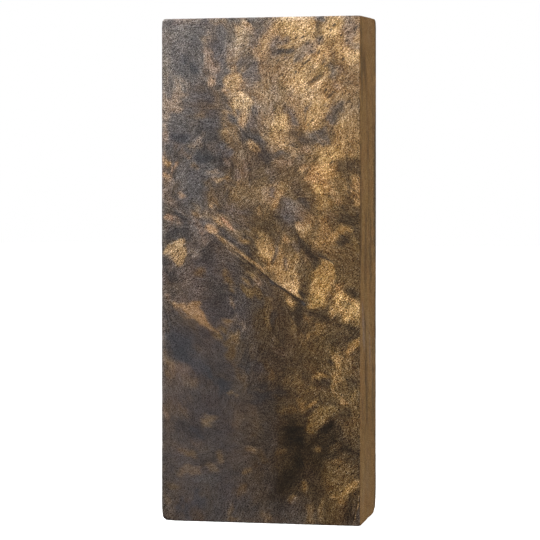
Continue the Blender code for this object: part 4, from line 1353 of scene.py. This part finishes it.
def out_of_square(points):
    """Stands the block on its foot, narrows its top, and lets the top fall to the left."""
    up = points[:, 2] / (2 * HALF.z) + 0.5
    across = 0.5 - points[:, 0] / (2 * HALF.x)
    width = WIDTH + (TOP_WIDTH - WIDTH) * up
    x = WIDTH / 2 - width * across
    z = up * (HEIGHT - TOP_FALL * across)
    return np.stack([x, points[:, 1], z], axis=1)


# Crisp things on the back: two seams, each a dark line under a pale lip, the line partly the seam itself
# and partly a painted shadow under the lip
BACK_LINES = in_order(
    touch("straw", 2.8, [(29, 93), (35, 85.4), (43.6, 79)], soft=2, strength=0.8),
    touch("umber", 1, [(27.6, 91.6), (34, 83.2), (43.4, 76.8)], soft=0.8, strength=0.8),
    touch("buff", 1.6, [(6, 40.4), (14, 46.2), (20, 55.4)], soft=1.2, strength=0.8),
    touch("soot", 0.6, [(6.6, 39), (15, 45), (21, 54.4)], soft=0.6),
)

# The hidden faces are drawn by rule: tones from dark to light, warm and grey
WARM_RANGE = ("soot", "umber", "bark", "cocoa", "chestnut", "walnut", "amber", "gold", "honey")
GREY_RANGE = ("char", "plum", "bark", "slate", "rose", "tan", "buff", "straw", "cream")
ZONE_WAVE = 24.0
PATCH_WAVE = 9.0
FLOW_WAVE = 22.0

# Which way their figure flows, in degrees, how far it turns from that, in radians, and how
# much of the finer turning is added
FLOW_ANGLE = 70.0
FLOW_TURN = 1.5
FLOW_FINE = 0.4

# Their marks: how far off the face they may start, in millimetres, how soon they get narrower,
# how much their widths vary, how many times longer than wide they are, in how many steps they
# bend, and how soft and how strong they are
RULE_MARGIN = 2.0
RULE_NARROWING = 0.55
RULE_WIDTHS = (0.75, 1.3)
RULE_LENGTHS = (1.0, 4.5)
RULE_STEPS = 3
RULE_SOFT = 0.6
RULE_STRENGTHS = (0.55, 1.0)

# How much the zones change their lightness, the patches' share of that, the most lightness,
# how much chance adds to lightness and to warmth, and where the warm tones begin
ZONE_CHANGE = 0.55
PATCH_SHARE = 0.45
LIGHTEST = 0.999
LIGHT_CHANCE = 0.2
WARM_CHANCE = 0.35
WARM_FROM = -0.15

# How many marks the back and each end have, from how wide to how narrow, and how light. The
# back's grain follows the same swirl as its marks
BACK_MARKS = (420, (16.0, 0.8), 0.54)
END_MARKS = (150, (9.0, 0.8), 0.3)
BACK_SWIRL = 205
END_SWIRL = 400


def swirl(across, up, seed):
    """The angle that the figure flows at, in radians."""
    places = on_sheet(across, up)
    turn = cloud(places, FLOW_WAVE, seed) + FLOW_FINE * cloud(places, FLOW_WAVE / 3, seed + 1)
    return math.radians(FLOW_ANGLE) + FLOW_TURN * turn


def marks_by_rule(width, height, count, sizes, middle, seed):
    """Seeded marks along the swirl of a burl, largest first, about a middle lightness."""
    lots = np.random.default_rng(seed)
    across = lots.uniform(-RULE_MARGIN, width + RULE_MARGIN, count)
    up = lots.uniform(-RULE_MARGIN, height + RULE_MARGIN, count)
    order = (np.arange(count) / count) ** RULE_NARROWING
    widths = sizes[0] * (sizes[1] / sizes[0]) ** order * lots.uniform(*RULE_WIDTHS, count)
    lengths = widths * lots.uniform(*RULE_LENGTHS, count)
    places = on_sheet(across, up)
    zone = cloud(places, ZONE_WAVE, seed + 2) + PATCH_SHARE * cloud(places, PATCH_WAVE, seed + 3)
    light = middle + ZONE_CHANGE * zone + lots.normal(0.0, LIGHT_CHANCE, count)
    light = np.clip(light, 0.0, LIGHTEST)
    warm = cloud(places, ZONE_WAVE, seed + 4) + lots.normal(0.0, WARM_CHANCE, count)
    strength = lots.uniform(*RULE_STRENGTHS, count)
    trails = [(across, up)]
    for _ in range(RULE_STEPS):
        angle = swirl(across, up, seed + 5)
        across = across + np.cos(angle) * lengths / RULE_STEPS
        up = up + np.sin(angle) * lengths / RULE_STEPS
        trails.append((across, up))
    marks = []
    for index in range(count):
        tones = WARM_RANGE if warm[index] > WARM_FROM else GREY_RANGE
        tone = tones[int(light[index] * len(tones))]
        route = [(float(xs[index]), float(ys[index])) for xs, ys in trails]
        size = float(widths[index])
        marks.append(Mark(tone, size, RULE_SOFT * size, tuple(route), float(strength[index])))
    return marks


def swirl_combs(across, up, seed):
    """The combed grain of a face whose figure flows by rule."""
    return combed(across, up, lambda xs, ys: swirl(xs, ys, seed))


def back_figure(across, up):
    """The figure of the back: the same kind of burl, drawn by rule."""
    streak = streaks(across, up, swirl_combs(across, up, BACK_SWIRL), seed=160)
    marks = marks_by_rule(SHEET_WIDTH, SHEET_HEIGHT, *BACK_MARKS, seed=200)
    figure = draw(marks, TONES, GROUND_TONE, across, up, seed=140, feather=streak)
    figure = draw(BACK_LINES, TONES, figure, across, up, seed=150, wander=LINE_WANDER)
    return lined(veined(figure, veins(across, up, seed=180)), streak)


# Long faint marks for the left side: their tones, how far below the foot they may start, how
# far they lean, and how long, how wide and how strong they are
SOFT_TONES = ("bark", "cocoa", "walnut", "slate", "mauve", "tan")
SOFT_START = -10.0
SOFT_LEAN = 2.0
SOFT_LENGTHS = (8.0, 35.0)
SOFT_WIDTHS = (0.5, 3.5)
SOFT_STRENGTHS = (0.3, 0.75)


def upright_combs(across, up):
    """The combed grain of a narrow side, which runs straight up."""
    return combed(across, up, lambda xs, ys: np.full(len(xs), math.pi / 2))


def side_figure(back, up, marks, ground, seed):
    """The figure of a narrow side: long, soft, upright streaks."""
    streak = streaks(back, up, upright_combs(back, up), seed)
    drawn = draw(marks, TONES, ground, back, up, seed + 10, streak)
    return lined(drawn, SIDE_STREAK * streak)


def end_figure(across, back, seed):
    """The figure of a sawn end: small swirls."""
    streak = streaks(across, back, swirl_combs(across, back, seed), seed + 20)
    marks = marks_by_rule(SHEET_WIDTH, THICKNESS / MM, *END_MARKS, seed)
    return lined(draw(marks, TONES, END_GROUND, across, back, seed + 10, streak), streak)


def soft_marks(seed, count):
    """Long faint marks for a narrow side, seeded."""
    lots = np.random.default_rng(seed)
    marks = []
    for _ in range(count):
        start = (lots.uniform(0.0, THICKNESS / MM), lots.uniform(SOFT_START, SHEET_HEIGHT))
        lean = lots.uniform(-SOFT_LEAN, SOFT_LEAN)
        end = (start[0] + lean, start[1] + lots.uniform(*SOFT_LENGTHS))
        tone = SOFT_TONES[lots.integers(len(SOFT_TONES))]
        width = lots.uniform(*SOFT_WIDTHS)
        marks.append(Mark(tone, width, width, (start, end), lots.uniform(*SOFT_STRENGTHS)))
    return marks


# How far the front's and back's figures carry round the edges onto the other faces, how much
# of them does, and the least that is drawn
CARRY = 2.2
CARRY_SHARE = 0.8
CARRY_LEAST = 0.02

# The tones that the left side and the ends are drawn on
LEFT_GROUND = (0.30, 0.62, 0.0)
END_GROUND = (0.34, 1.0, 0.0)

# How quickly one face's figure gives way to the next round an edge, and the least share drawn
FACE_POWER = 4
FACE_LEAST = 0.001

# The ends' grain is read this many block thicknesses further up the sheet
END_RISE = 3.0

# How much the wood's warmth and redness drift, and over what lengths in metres. A finer drift
# is added: its strength and its length, as shares
HUE_DRIFT = ((0.14, 0.0034), (0.16, 0.0042))
FINE_DRIFT = (0.6, 0.4)


def whole_figure(points, facing):
    """The figure at each point of the block, whichever face it is on."""
    across, up, back = sheet_places(points)
    weights = {
        "front": -facing[:, 1],
        "back": facing[:, 1],
        "right": facing[:, 0],
        "left": -facing[:, 0],
        "top": facing[:, 2],
        "foot": -facing[:, 2],
    }
    total = np.zeros((len(points), 1))
    figure = np.zeros((len(points), 3))
    for face, weight in weights.items():
        share = np.clip(weight, 0.0, 1.0) ** FACE_POWER
        seen = share > FACE_LEAST
        drawn = face_figure(face, across[seen], up[seen], back[seen])
        figure[seen] += drawn * share[seen, None]
        total[seen] += share[seen, None]
    return figure / total


def face_figure(face, across, up, back):
    """The figure of one face, with its neighbours' carried a little way round the edges."""
    if face == "front":
        return front_figure(across, up)
    if face == "back":
        return back_figure(SHEET_WIDTH - across, up)
    if face == "right":
        drawn = side_figure(back, up, RIGHT_SIDE, SIDE_GROUND, seed=300)
        carried = 0.0
    elif face == "left":
        drawn = side_figure(back, up, soft_marks(seed=330, count=70), LEFT_GROUND, seed=340)
        carried = CARRY_SHARE
    else:
        drawn = end_figure(across, back, seed=400 if face == "top" else 440)
        carried = CARRY_SHARE
    from_front = carried * np.exp(-((back / CARRY) ** 2))
    from_back = CARRY_SHARE * np.exp(-(((THICKNESS / MM - back) / CARRY) ** 2))
    for share, figure_there in ((from_front, front_figure), (from_back, back_figure)):
        near = share > CARRY_LEAST
        there = across if figure_there is front_figure else SHEET_WIDTH - across
        other = figure_there(there[near], up[near])
        drawn[near] += (other - drawn[near]) * share[near, None]
    return drawn


def whole_grit(points, facing):
    """How strong the fine grain is at each point, whichever face it is on."""
    across, up, _ = sheet_places(points)
    grit = np.ones((len(points), 1))
    grit[np.abs(facing[:, 0]) > FACE_WELL] = SIDE_GRIT
    grit[np.abs(facing[:, 2]) > FACE_WELL] = END_GRIT
    front = facing[:, 1] < -FACE_FROM
    grit[front] = draw(FRONT_GRIT, GRIT, GRIT["even"], across[front], up[front], seed=30)
    return grit


def hue_drift(points):
    """Small drifts in warmth and in redness, in patches a few millimetres wide."""
    drift = np.zeros((len(points), 3))
    fine_amount, fine_wave = FINE_DRIFT
    for column, (amount, wave) in enumerate(HUE_DRIFT, start=1):
        drift[:, column] = amount * cloud(points, wave, 50 + column)
        fine = cloud(points, fine_wave * wave, 60 + column)
        drift[:, column] += fine_amount * amount * fine
    return drift


def whole_combs(points, facing):
    """The combed grain at each point of the block, whichever face it is on."""
    across, up, back = sheet_places(points)
    level = back + END_RISE * THICKNESS / MM
    combs = [np.zeros((len(points), 3)) for _ in CELL_SETS]
    ends = np.abs(facing[:, 2]) > FACE_WELL
    front = (facing[:, 1] < -FACE_FROM) & ~ends
    behind = (facing[:, 1] > FACE_FROM) & ~ends
    sides = ~(ends | front | behind)
    for chosen, xs, ys, comb_them in (
        (front, across, up, lambda x, y: combed(x, y, front_angle)),
        (behind, SHEET_WIDTH - across, up, lambda x, y: swirl_combs(x, y, BACK_SWIRL)),
        (sides, back, up, upright_combs),
        (ends, across, level, lambda x, y: swirl_combs(x, y, END_SWIRL)),
    ):
        for comb, part in zip(combs, comb_them(xs[chosen], ys[chosen])):
            comb[chosen] = part
    return combs


def new_attribute(mesh, name, values):
    """Stores a number, or three, at each point of a mesh."""
    kind, field = ("FLOAT_VECTOR", "vector") if values.shape[1] == 3 else ("FLOAT", "value")
    made = mesh.attributes.new(name, kind, "POINT")
    made.data.foreach_set(field, np.ascontiguousarray(values, dtype=np.float32).ravel())


def linked_object(name, data):
    """Puts a mesh, a lamp or a camera into an object of its own, in the scene."""
    made = bpy.data.objects.new(name, data)
    bpy.context.scene.collection.objects.link(made)
    return made


def block_mesh(settings):
    """The worn block, with its figure and its grain stored at its points."""
    bm = refined_block(settings.spacing)
    bmesh.ops.recalc_face_normals(bm, faces=bm.faces)
    mesh = bpy.data.meshes.new("burl_block")
    bm.to_mesh(mesh)
    bm.free()
    points = np.empty(len(mesh.vertices) * 3)
    mesh.vertices.foreach_get("co", points)
    points = points.reshape(-1, 3)
    worn_points, facing = worn(points)
    sink = relief(points, facing) * settings.relief + check_depth(points, facing)
    placed = out_of_square(worn_points - facing * sink[:, None])
    mesh.vertices.foreach_set("co", placed.ravel())
    new_attribute(mesh, "figure", whole_figure(points, facing) + hue_drift(points))
    for index, comb in enumerate(whole_combs(points, facing)):
        new_attribute(mesh, f"comb_{index}", comb)
    new_attribute(mesh, "grit", whole_grit(points, facing))
    mesh.shade_smooth()
    mesh.update()
    return mesh


def linear(level):
    """A colour level from 0 to 255 as the amount of light it stands for."""
    share = level / 255.0
    return share / 12.92 if share <= 0.04045 else ((share + 0.055) / 1.055) ** 2.4


def shader_color(levels):
    """A colour in 0 to 255 levels as the shader wants it."""
    return (*(linear(level) for level in levels), 1.0)


def new_material(name):
    """A new material, with its node tree and its shader."""
    material = bpy.data.materials.new(name)
    material.use_nodes = True
    return material, material.node_tree, material.node_tree.nodes["Principled BSDF"]


def fill(tree, socket, value):
    """Joins a socket to another one, or gives it a plain value."""
    if isinstance(value, bpy.types.NodeSocket):
        tree.links.new(value, socket)
    else:
        socket.default_value = value


def new_node(tree, kind, **settings):
    """Adds a node. A setting that names a socket fills or joins it, and any other sets the node."""
    node = tree.nodes.new(kind)
    for name, value in settings.items():
        socket_name = name.replace("_", " ").title()
        if socket_name in node.inputs:
            fill(tree, node.inputs[socket_name], value)
        else:
            setattr(node, name, value)
    return node


def math_of(tree, operation, *values):
    """The result of one sum on sockets or plain numbers."""
    node = new_node(tree, "ShaderNodeMath", operation=operation)
    for socket, value in zip(node.inputs, values):
        fill(tree, socket, value)
    return node.outputs[0]


# Which of a mix node's sockets are for colours: the share, the two colours and the result
MIX_INPUTS = (0, 6, 7)
MIX_OUTPUT = 2


def mixed(tree, share, first, second, blend="MIX"):
    """Two colours mixed by a share."""
    node = new_node(tree, "ShaderNodeMix", data_type="RGBA", blend_type=blend, clamp_factor=True)
    for place, value in zip(MIX_INPUTS, (share, first, second)):
        fill(tree, node.inputs[place], value)
    return node.outputs[MIX_OUTPUT]


def tinted(tree, share, color, tint):
    """A colour with a tint laid over it by a share."""
    return mixed(tree, share, color, mixed(tree, 1.0, color, (*tint, 1.0), "MULTIPLY"))


def ramp_of(tree, share, colors):
    """A colour read from a ramp by its share."""
    node = tree.nodes.new("ShaderNodeValToRGB")
    steps = node.color_ramp.elements
    while len(steps) < len(colors):
        steps.new(0.5)
    for step, (place, levels) in zip(steps, sorted(colors.items())):
        step.position = place
        step.color = shader_color(levels)
    tree.links.new(share, node.inputs[0])
    return node.outputs[0]


def centred(tree, socket, strength):
    """Noise about nought, as strong as asked, from noise about a half."""
    return math_of(tree, "MULTIPLY", math_of(tree, "SUBTRACT", socket, 0.5), strength)


def noise_of(tree, place, scale, detail=0.0, **settings):
    """Noise about a half, with so many lumps to each unit of its place."""
    settings.update(vector=place, scale=scale, detail=detail)
    return new_node(tree, "ShaderNodeTexNoise", **settings).outputs[0]


def rising(tree, value, low, high):
    """0 below low, 1 above high, and evenly rising between them."""
    node = new_node(tree, "ShaderNodeMapRange", value=value, from_min=low, from_max=high)
    return node.outputs[0]


def fibre_noise(tree, comb, wave, stretch, layer):
    """Noise drawn out along the grain of one set of cells, with the wave in millimetres."""
    drawn = new_node(
        tree,
        "ShaderNodeMapping",
        vector=comb,
        location=(0.0, 0.0, layer),
        scale=(1.0 / (wave * stretch), 1.0 / wave, 0.0),
    )
    return noise_of(tree, drawn.outputs[0], 1.0, FIBRE_DETAIL, roughness=FIBRE_ROUGHNESS)


def fibres_and_pores(tree):
    """Fine fibres, and short dark pores, that run along the combed grain."""
    fibre, pore = 0.0, 0.0
    for index in range(len(CELL_SETS)):
        comb = new_node(tree, "ShaderNodeAttribute", attribute_name=f"comb_{index}")
        comb = comb.outputs["Vector"]
        share = new_node(tree, "ShaderNodeSeparateXYZ", vector=comb).outputs[2]
        fine = fibre_noise(tree, comb, *FIBRE, SET_STEP * index)
        coarse = fibre_noise(tree, comb, *PORE, SET_STEP * index + PORE_STEP)
        dark = rising(tree, coarse, *PORE_RANGE)
        fibre = math_of(tree, "MULTIPLY_ADD", centred(tree, fine, 1.0), share, fibre)
        pore = math_of(tree, "MULTIPLY_ADD", dark, share, pore)
    return fibre, pore


def fine_grain(tree, place, mottle, finish):
    """Mottling, speckle, dots, fibres and pores together, as one height about nought."""
    speckle = noise_of(tree, place, SPECKLE_SCALE)
    dots = rising(tree, noise_of(tree, place, DOT_SCALE), *DOT_RANGE)
    fibre, pore = fibres_and_pores(tree)
    fine = math_of(tree, "ADD", centred(tree, mottle, finish.mottle), PIT_LIFT)
    fine = math_of(tree, "ADD", centred(tree, speckle, finish.speckle), fine)
    for layer, strength in ((fibre, finish.fibre), (dots, -finish.dots), (pore, -finish.pores)):
        fine = math_of(tree, "MULTIPLY_ADD", layer, strength, fine)
    return fine


def figure_color(tree, tone, warmth, redness):
    """Grey or warm wood as light as the figure is, tinted where that goes past either end."""
    color = mixed(tree, warmth, ramp_of(tree, tone, GREY_WOOD), ramp_of(tree, tone, WARM_WOOD))
    color = tinted(tree, math_of(tree, "SUBTRACT", warmth, 1.0), color, HOT_TINT)
    color = tinted(tree, math_of(tree, "MULTIPLY", warmth, -1.0), color, COOL_TINT)
    color = tinted(tree, redness, color, RED_TINT)
    return tinted(tree, math_of(tree, "MULTIPLY", redness, -1.0), color, GREEN_TINT)


def with_grain(tree, color, grain):
    """A colour with grain added evenly to the eye, and never darker than the darkest."""
    seen = new_node(tree, "ShaderNodeGamma", color=color, gamma=1.0 / SCREEN_GAMMA).outputs[0]
    for operation, value in (("ADD", grain), ("MAXIMUM", DARKEST)):
        node = new_node(tree, "ShaderNodeVectorMath", operation=operation, vector=seen)
        fill(tree, node.inputs[1], value)
        seen = node.outputs[0]
    return new_node(tree, "ShaderNodeGamma", color=seen, gamma=SCREEN_GAMMA).outputs[0]


def walnut_material(finish):
    """Burl walnut: its drawn figure, made fine with mottling, speckle, fibres and pores."""
    material, tree, shader = new_material("burl_walnut")
    place = new_node(tree, "ShaderNodeTexCoord").outputs["Object"]
    place = new_node(tree, "ShaderNodeMapping", vector=place, rotation=NOISE_TURN).outputs[0]
    figure = new_node(tree, "ShaderNodeAttribute", attribute_name="figure").outputs["Vector"]
    tone, warmth, redness = new_node(tree, "ShaderNodeSeparateXYZ", vector=figure).outputs
    mottle = noise_of(tree, place, MOTTLE_SCALE, detail=3.0, roughness=0.6, distortion=0.5)
    fine = fine_grain(tree, place, mottle, finish)
    grit = new_node(tree, "ShaderNodeAttribute", attribute_name="grit").outputs["Fac"]
    lift = math_of(tree, "MULTIPLY_ADD", tone, PALE_GRAIN, DARK_GRAIN)
    lift = math_of(tree, "MULTIPLY", lift, grit)
    grain = math_of(tree, "MULTIPLY", fine, math_of(tree, "MULTIPLY", lift, GRAIN_STRENGTH))
    rough = math_of(tree, "ADD", centred(tree, mottle, ROUGHNESS_MOTTLE), finish.roughness)
    bump = new_node(
        tree, "ShaderNodeBump", height=fine, strength=BUMP_STRENGTH, distance=finish.bump
    )
    for name, value in (
        ("Base Color", with_grain(tree, figure_color(tree, tone, warmth, redness), grain)),
        ("Roughness", rough),
        ("Specular IOR Level", finish.gloss),
        ("Normal", bump.outputs[0]),
    ):
        fill(tree, shader.inputs[name], value)
    return material


# Plain white light, and the floor's colour in 0 to 255 levels
WHITE = (1.0, 1.0, 1.0, 1.0)
FLOOR_COLOR = (243, 243, 243)
FLOOR_ROUGHNESS = 0.9


def lit_floor_material(glow):
    """Plain pale acrylic, lit a little from below."""
    material, tree, shader = new_material("pale_floor")
    for name, value in (
        ("Base Color", shader_color(FLOOR_COLOR)),
        ("Roughness", FLOOR_ROUGHNESS),
        ("Specular IOR Level", 0.0),
        ("Emission Color", WHITE),
        ("Emission Strength", glow),
    ):
        fill(tree, shader.inputs[name], value)
    return material


# The floor lies this far below the block's foot, in metres
FLOOR_DROP = 0.00005

# The camera as the photograph was taken, in metres and degrees
CAMERA_PLACE = (0.12361, -0.61634, 0.10232)
CAMERA_TURN = 11.320
CAMERA_DOWN = 3.571
CAMERA_ROLL = 0.141
CAMERA_LENS = 164.65
SENSOR = 36.0

# Soft lamps round the block: degrees to the right of the front, degrees up, metres away,
# metres wide and tall, and watts
LAMPS = {
    "key": (-32.0, 38.0, 0.50, (0.36, 0.26), 3.2),
    "fill": (75.0, 14.0, 0.9, (0.4, 0.8), 3.6),
    "rear_left": (-128.0, 38.0, 1.0, (0.6, 0.6), 4.0),
    "rear_right": (128.0, 42.0, 1.0, (0.6, 0.6), 4.0),
}

# The lamps that the wood's gloss reflects: the others are flagged off it
SHINING = {"key", "rear_left"}


def soft_lamp(name, turn, rise, distance, size, power, centre):
    """A rectangular soft lamp that faces the block."""
    light = bpy.data.lights.new(name, "AREA")
    light.shape = "RECTANGLE"
    light.size, light.size_y = size
    light.energy = power
    lamp = linked_object(name, light)
    flat = distance * math.cos(math.radians(rise))
    offset = Vector(
        (
            flat * math.sin(math.radians(turn)),
            -flat * math.cos(math.radians(turn)),
            distance * math.sin(math.radians(rise)),
        )
    )
    lamp.location = centre + offset
    lamp.rotation_euler = (-offset).to_track_quat("-Z", "Y").to_euler()
    lamp.visible_camera = False
    lamp.visible_glossy = name in SHINING
    return lamp


def studio_world(stage):
    """White behind the block, and a dimmer, even light on it."""
    world = bpy.data.worlds.new("studio")
    bpy.context.scene.world = world
    world.use_nodes = True
    tree = world.node_tree
    background = tree.nodes["Background"]
    rays = new_node(tree, "ShaderNodeLightPath")
    glow = math_of(tree, "MULTIPLY_ADD", rays.outputs["Is Glossy Ray"],
                   stage.glow_in_gloss - stage.glow, stage.glow)
    shown = math_of(tree, "SUBTRACT", 1.0, glow)
    strength = math_of(tree, "MULTIPLY_ADD", rays.outputs["Is Camera Ray"], shown, glow)
    tree.links.new(strength, background.inputs["Strength"])
    background.inputs["Color"].default_value = WHITE


def studio_camera():
    """The camera, where the photograph was taken from."""
    data = bpy.data.cameras.new("camera")
    data.lens = CAMERA_LENS
    data.sensor_width = SENSOR
    camera = linked_object("camera", data)
    camera.location = CAMERA_PLACE
    camera.rotation_euler = Euler(
        (math.radians(90.0 - CAMERA_DOWN), math.radians(CAMERA_ROLL), math.radians(CAMERA_TURN))
    )
    bpy.context.scene.camera = camera
    return camera


class BlockSettings(bpy.types.PropertyGroup):
    """How the block is modelled."""

    spacing: bpy.props.FloatProperty(
        name="Point Spacing",
        description="Distance between the block's points away from its edges",
        default=0.0009,
        min=0.0005,
        unit="LENGTH",
        precision=5,
    )
    relief: bpy.props.FloatProperty(
        name="Relief",
        description="How strongly the sanded faces and sawn ends wave, as a share of the real",
        default=1.0,
        min=0.0,
        subtype="FACTOR",
    )


class FinishSettings(bpy.types.PropertyGroup):
    """How the wood looks."""

    mottle: bpy.props.FloatProperty(
        name="Mottle", description="Strength of the soft mottling", default=0.12, min=0.0
    )
    speckle: bpy.props.FloatProperty(
        name="Speckle", description="Strength of the fine speckle", default=2.2, min=0.0
    )
    fibre: bpy.props.FloatProperty(
        name="Fibre", description="Strength of the fine fibres", default=1.5, min=0.0
    )
    dots: bpy.props.FloatProperty(
        name="Dots", description="Darkness of the scattered dots", default=1.0, min=0.0
    )
    pores: bpy.props.FloatProperty(
        name="Pores", description="Darkness of the long pores", default=0.55, min=0.0
    )
    roughness: bpy.props.FloatProperty(
        name="Roughness", description="Roughness of the surface", default=0.45, min=0.0, max=1.0
    )
    gloss: bpy.props.FloatProperty(
        name="Gloss", description="Strength of the surface's reflection", default=0.3, min=0.0
    )
    bump: bpy.props.FloatProperty(
        name="Bump Depth",
        description="Depth of the fine bumps",
        default=0.00002,
        min=0.0,
        unit="LENGTH",
        precision=6,
    )


class StageSettings(bpy.types.PropertyGroup):
    """How the block is lit and what it stands on."""

    floor_size: bpy.props.FloatProperty(
        name="Floor Size", description="Half the floor's width", default=1.3, unit="LENGTH"
    )
    floor_glow: bpy.props.FloatProperty(
        name="Floor Glow", description="Light from below the floor", default=0.75, min=0.0
    )
    brightness: bpy.props.FloatProperty(
        name="Brightness", description="Strength of every lamp", default=1.0, min=0.0
    )
    glow: bpy.props.FloatProperty(
        name="Glow", description="Even light from all round", default=0.25, min=0.0
    )
    glow_in_gloss: bpy.props.FloatProperty(
        name="Glow In Gloss",
        description="Even light as the wood's gloss reflects it",
        default=0.08,
        min=0.0,
    )


class WALNUT_OT_block(bpy.types.Operator):
    """Add the burl walnut block with its figure and finish"""

    bl_idname = "mesh.burl_walnut_block"
    bl_label = "Burl Walnut Block"

    def execute(self, context):
        scene = context.scene
        block = linked_object("burl_block", block_mesh(scene.walnut_block_shape))
        block.data.materials.append(walnut_material(scene.walnut_block_finish))
        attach(block, "root")
        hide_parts("walnut_block")
        return {"FINISHED"}


class WALNUT_OT_stage(bpy.types.Operator):
    """Add the floor, the lamps, the white surroundings and the camera"""

    bl_idname = "scene.burl_walnut_stage"
    bl_label = "Studio Stage"

    def execute(self, context):
        stage = context.scene.walnut_block_stage
        bm = bmesh.new()
        bmesh.ops.create_grid(bm, x_segments=1, y_segments=1, size=stage.floor_size)
        bmesh.ops.translate(bm, vec=(0.0, 0.0, -FLOOR_DROP), verts=bm.verts)
        mesh = bpy.data.meshes.new("floor")
        bm.to_mesh(mesh)
        bm.free()
        floor = linked_object("floor", mesh)
        floor.data.materials.append(lit_floor_material(stage.floor_glow))
        floor.visible_glossy = False
        floor.visible_diffuse = False
        centre = Vector((0.0, 0.0, HEIGHT / 2))
        for name, (turn, rise, distance, size, power) in LAMPS.items():
            soft_lamp(name, turn, rise, distance, size, power * stage.brightness, centre)
        studio_world(stage)
        studio_camera()
        context.scene.view_settings.view_transform = "Standard"
        context.scene.view_settings.look = "None"
        return {"FINISHED"}


class WALNUT_PT_sidebar(bpy.types.Panel):
    """The block's and the stage's buttons and settings"""

    bl_idname = "WALNUT_PT_sidebar"
    bl_label = "Walnut Block"
    bl_space_type = "VIEW_3D"
    bl_region_type = "UI"
    bl_category = "Walnut Block"

    def draw(self, context):
        scene = context.scene
        layout = self.layout
        for settings, operator in (
            (scene.walnut_block_shape, None),
            (scene.walnut_block_finish, WALNUT_OT_block.bl_idname),
            (scene.walnut_block_stage, WALNUT_OT_stage.bl_idname),
        ):
            box = layout.box()
            for name in settings.bl_rna.properties.keys():
                if name not in {"rna_type", "name"}:
                    box.prop(settings, name)
            if operator:
                box.operator(operator)


CLASSES = (
    BlockSettings,
    FinishSettings,
    StageSettings,
    WALNUT_OT_block,
    WALNUT_OT_stage,
    WALNUT_PT_sidebar,
)


def register():
    """Makes the settings, the operators and the panel known to Blender."""
    for cls in CLASSES:
        bpy.utils.register_class(cls)
    scene_type = bpy.types.Scene
    scene_type.walnut_block_shape = bpy.props.PointerProperty(type=BlockSettings)
    scene_type.walnut_block_finish = bpy.props.PointerProperty(type=FinishSettings)
    scene_type.walnut_block_stage = bpy.props.PointerProperty(type=StageSettings)


def unregister():
    """Takes them out again."""
    del bpy.types.Scene.walnut_block_stage
    del bpy.types.Scene.walnut_block_finish
    del bpy.types.Scene.walnut_block_shape
    for cls in reversed(CLASSES):
        bpy.utils.unregister_class(cls)


def main():
    """Builds the block and its stage."""
    register()
    bpy.ops.mesh.burl_walnut_block()
    bpy.ops.scene.burl_walnut_stage()


if __name__ == "__main__":
    main()
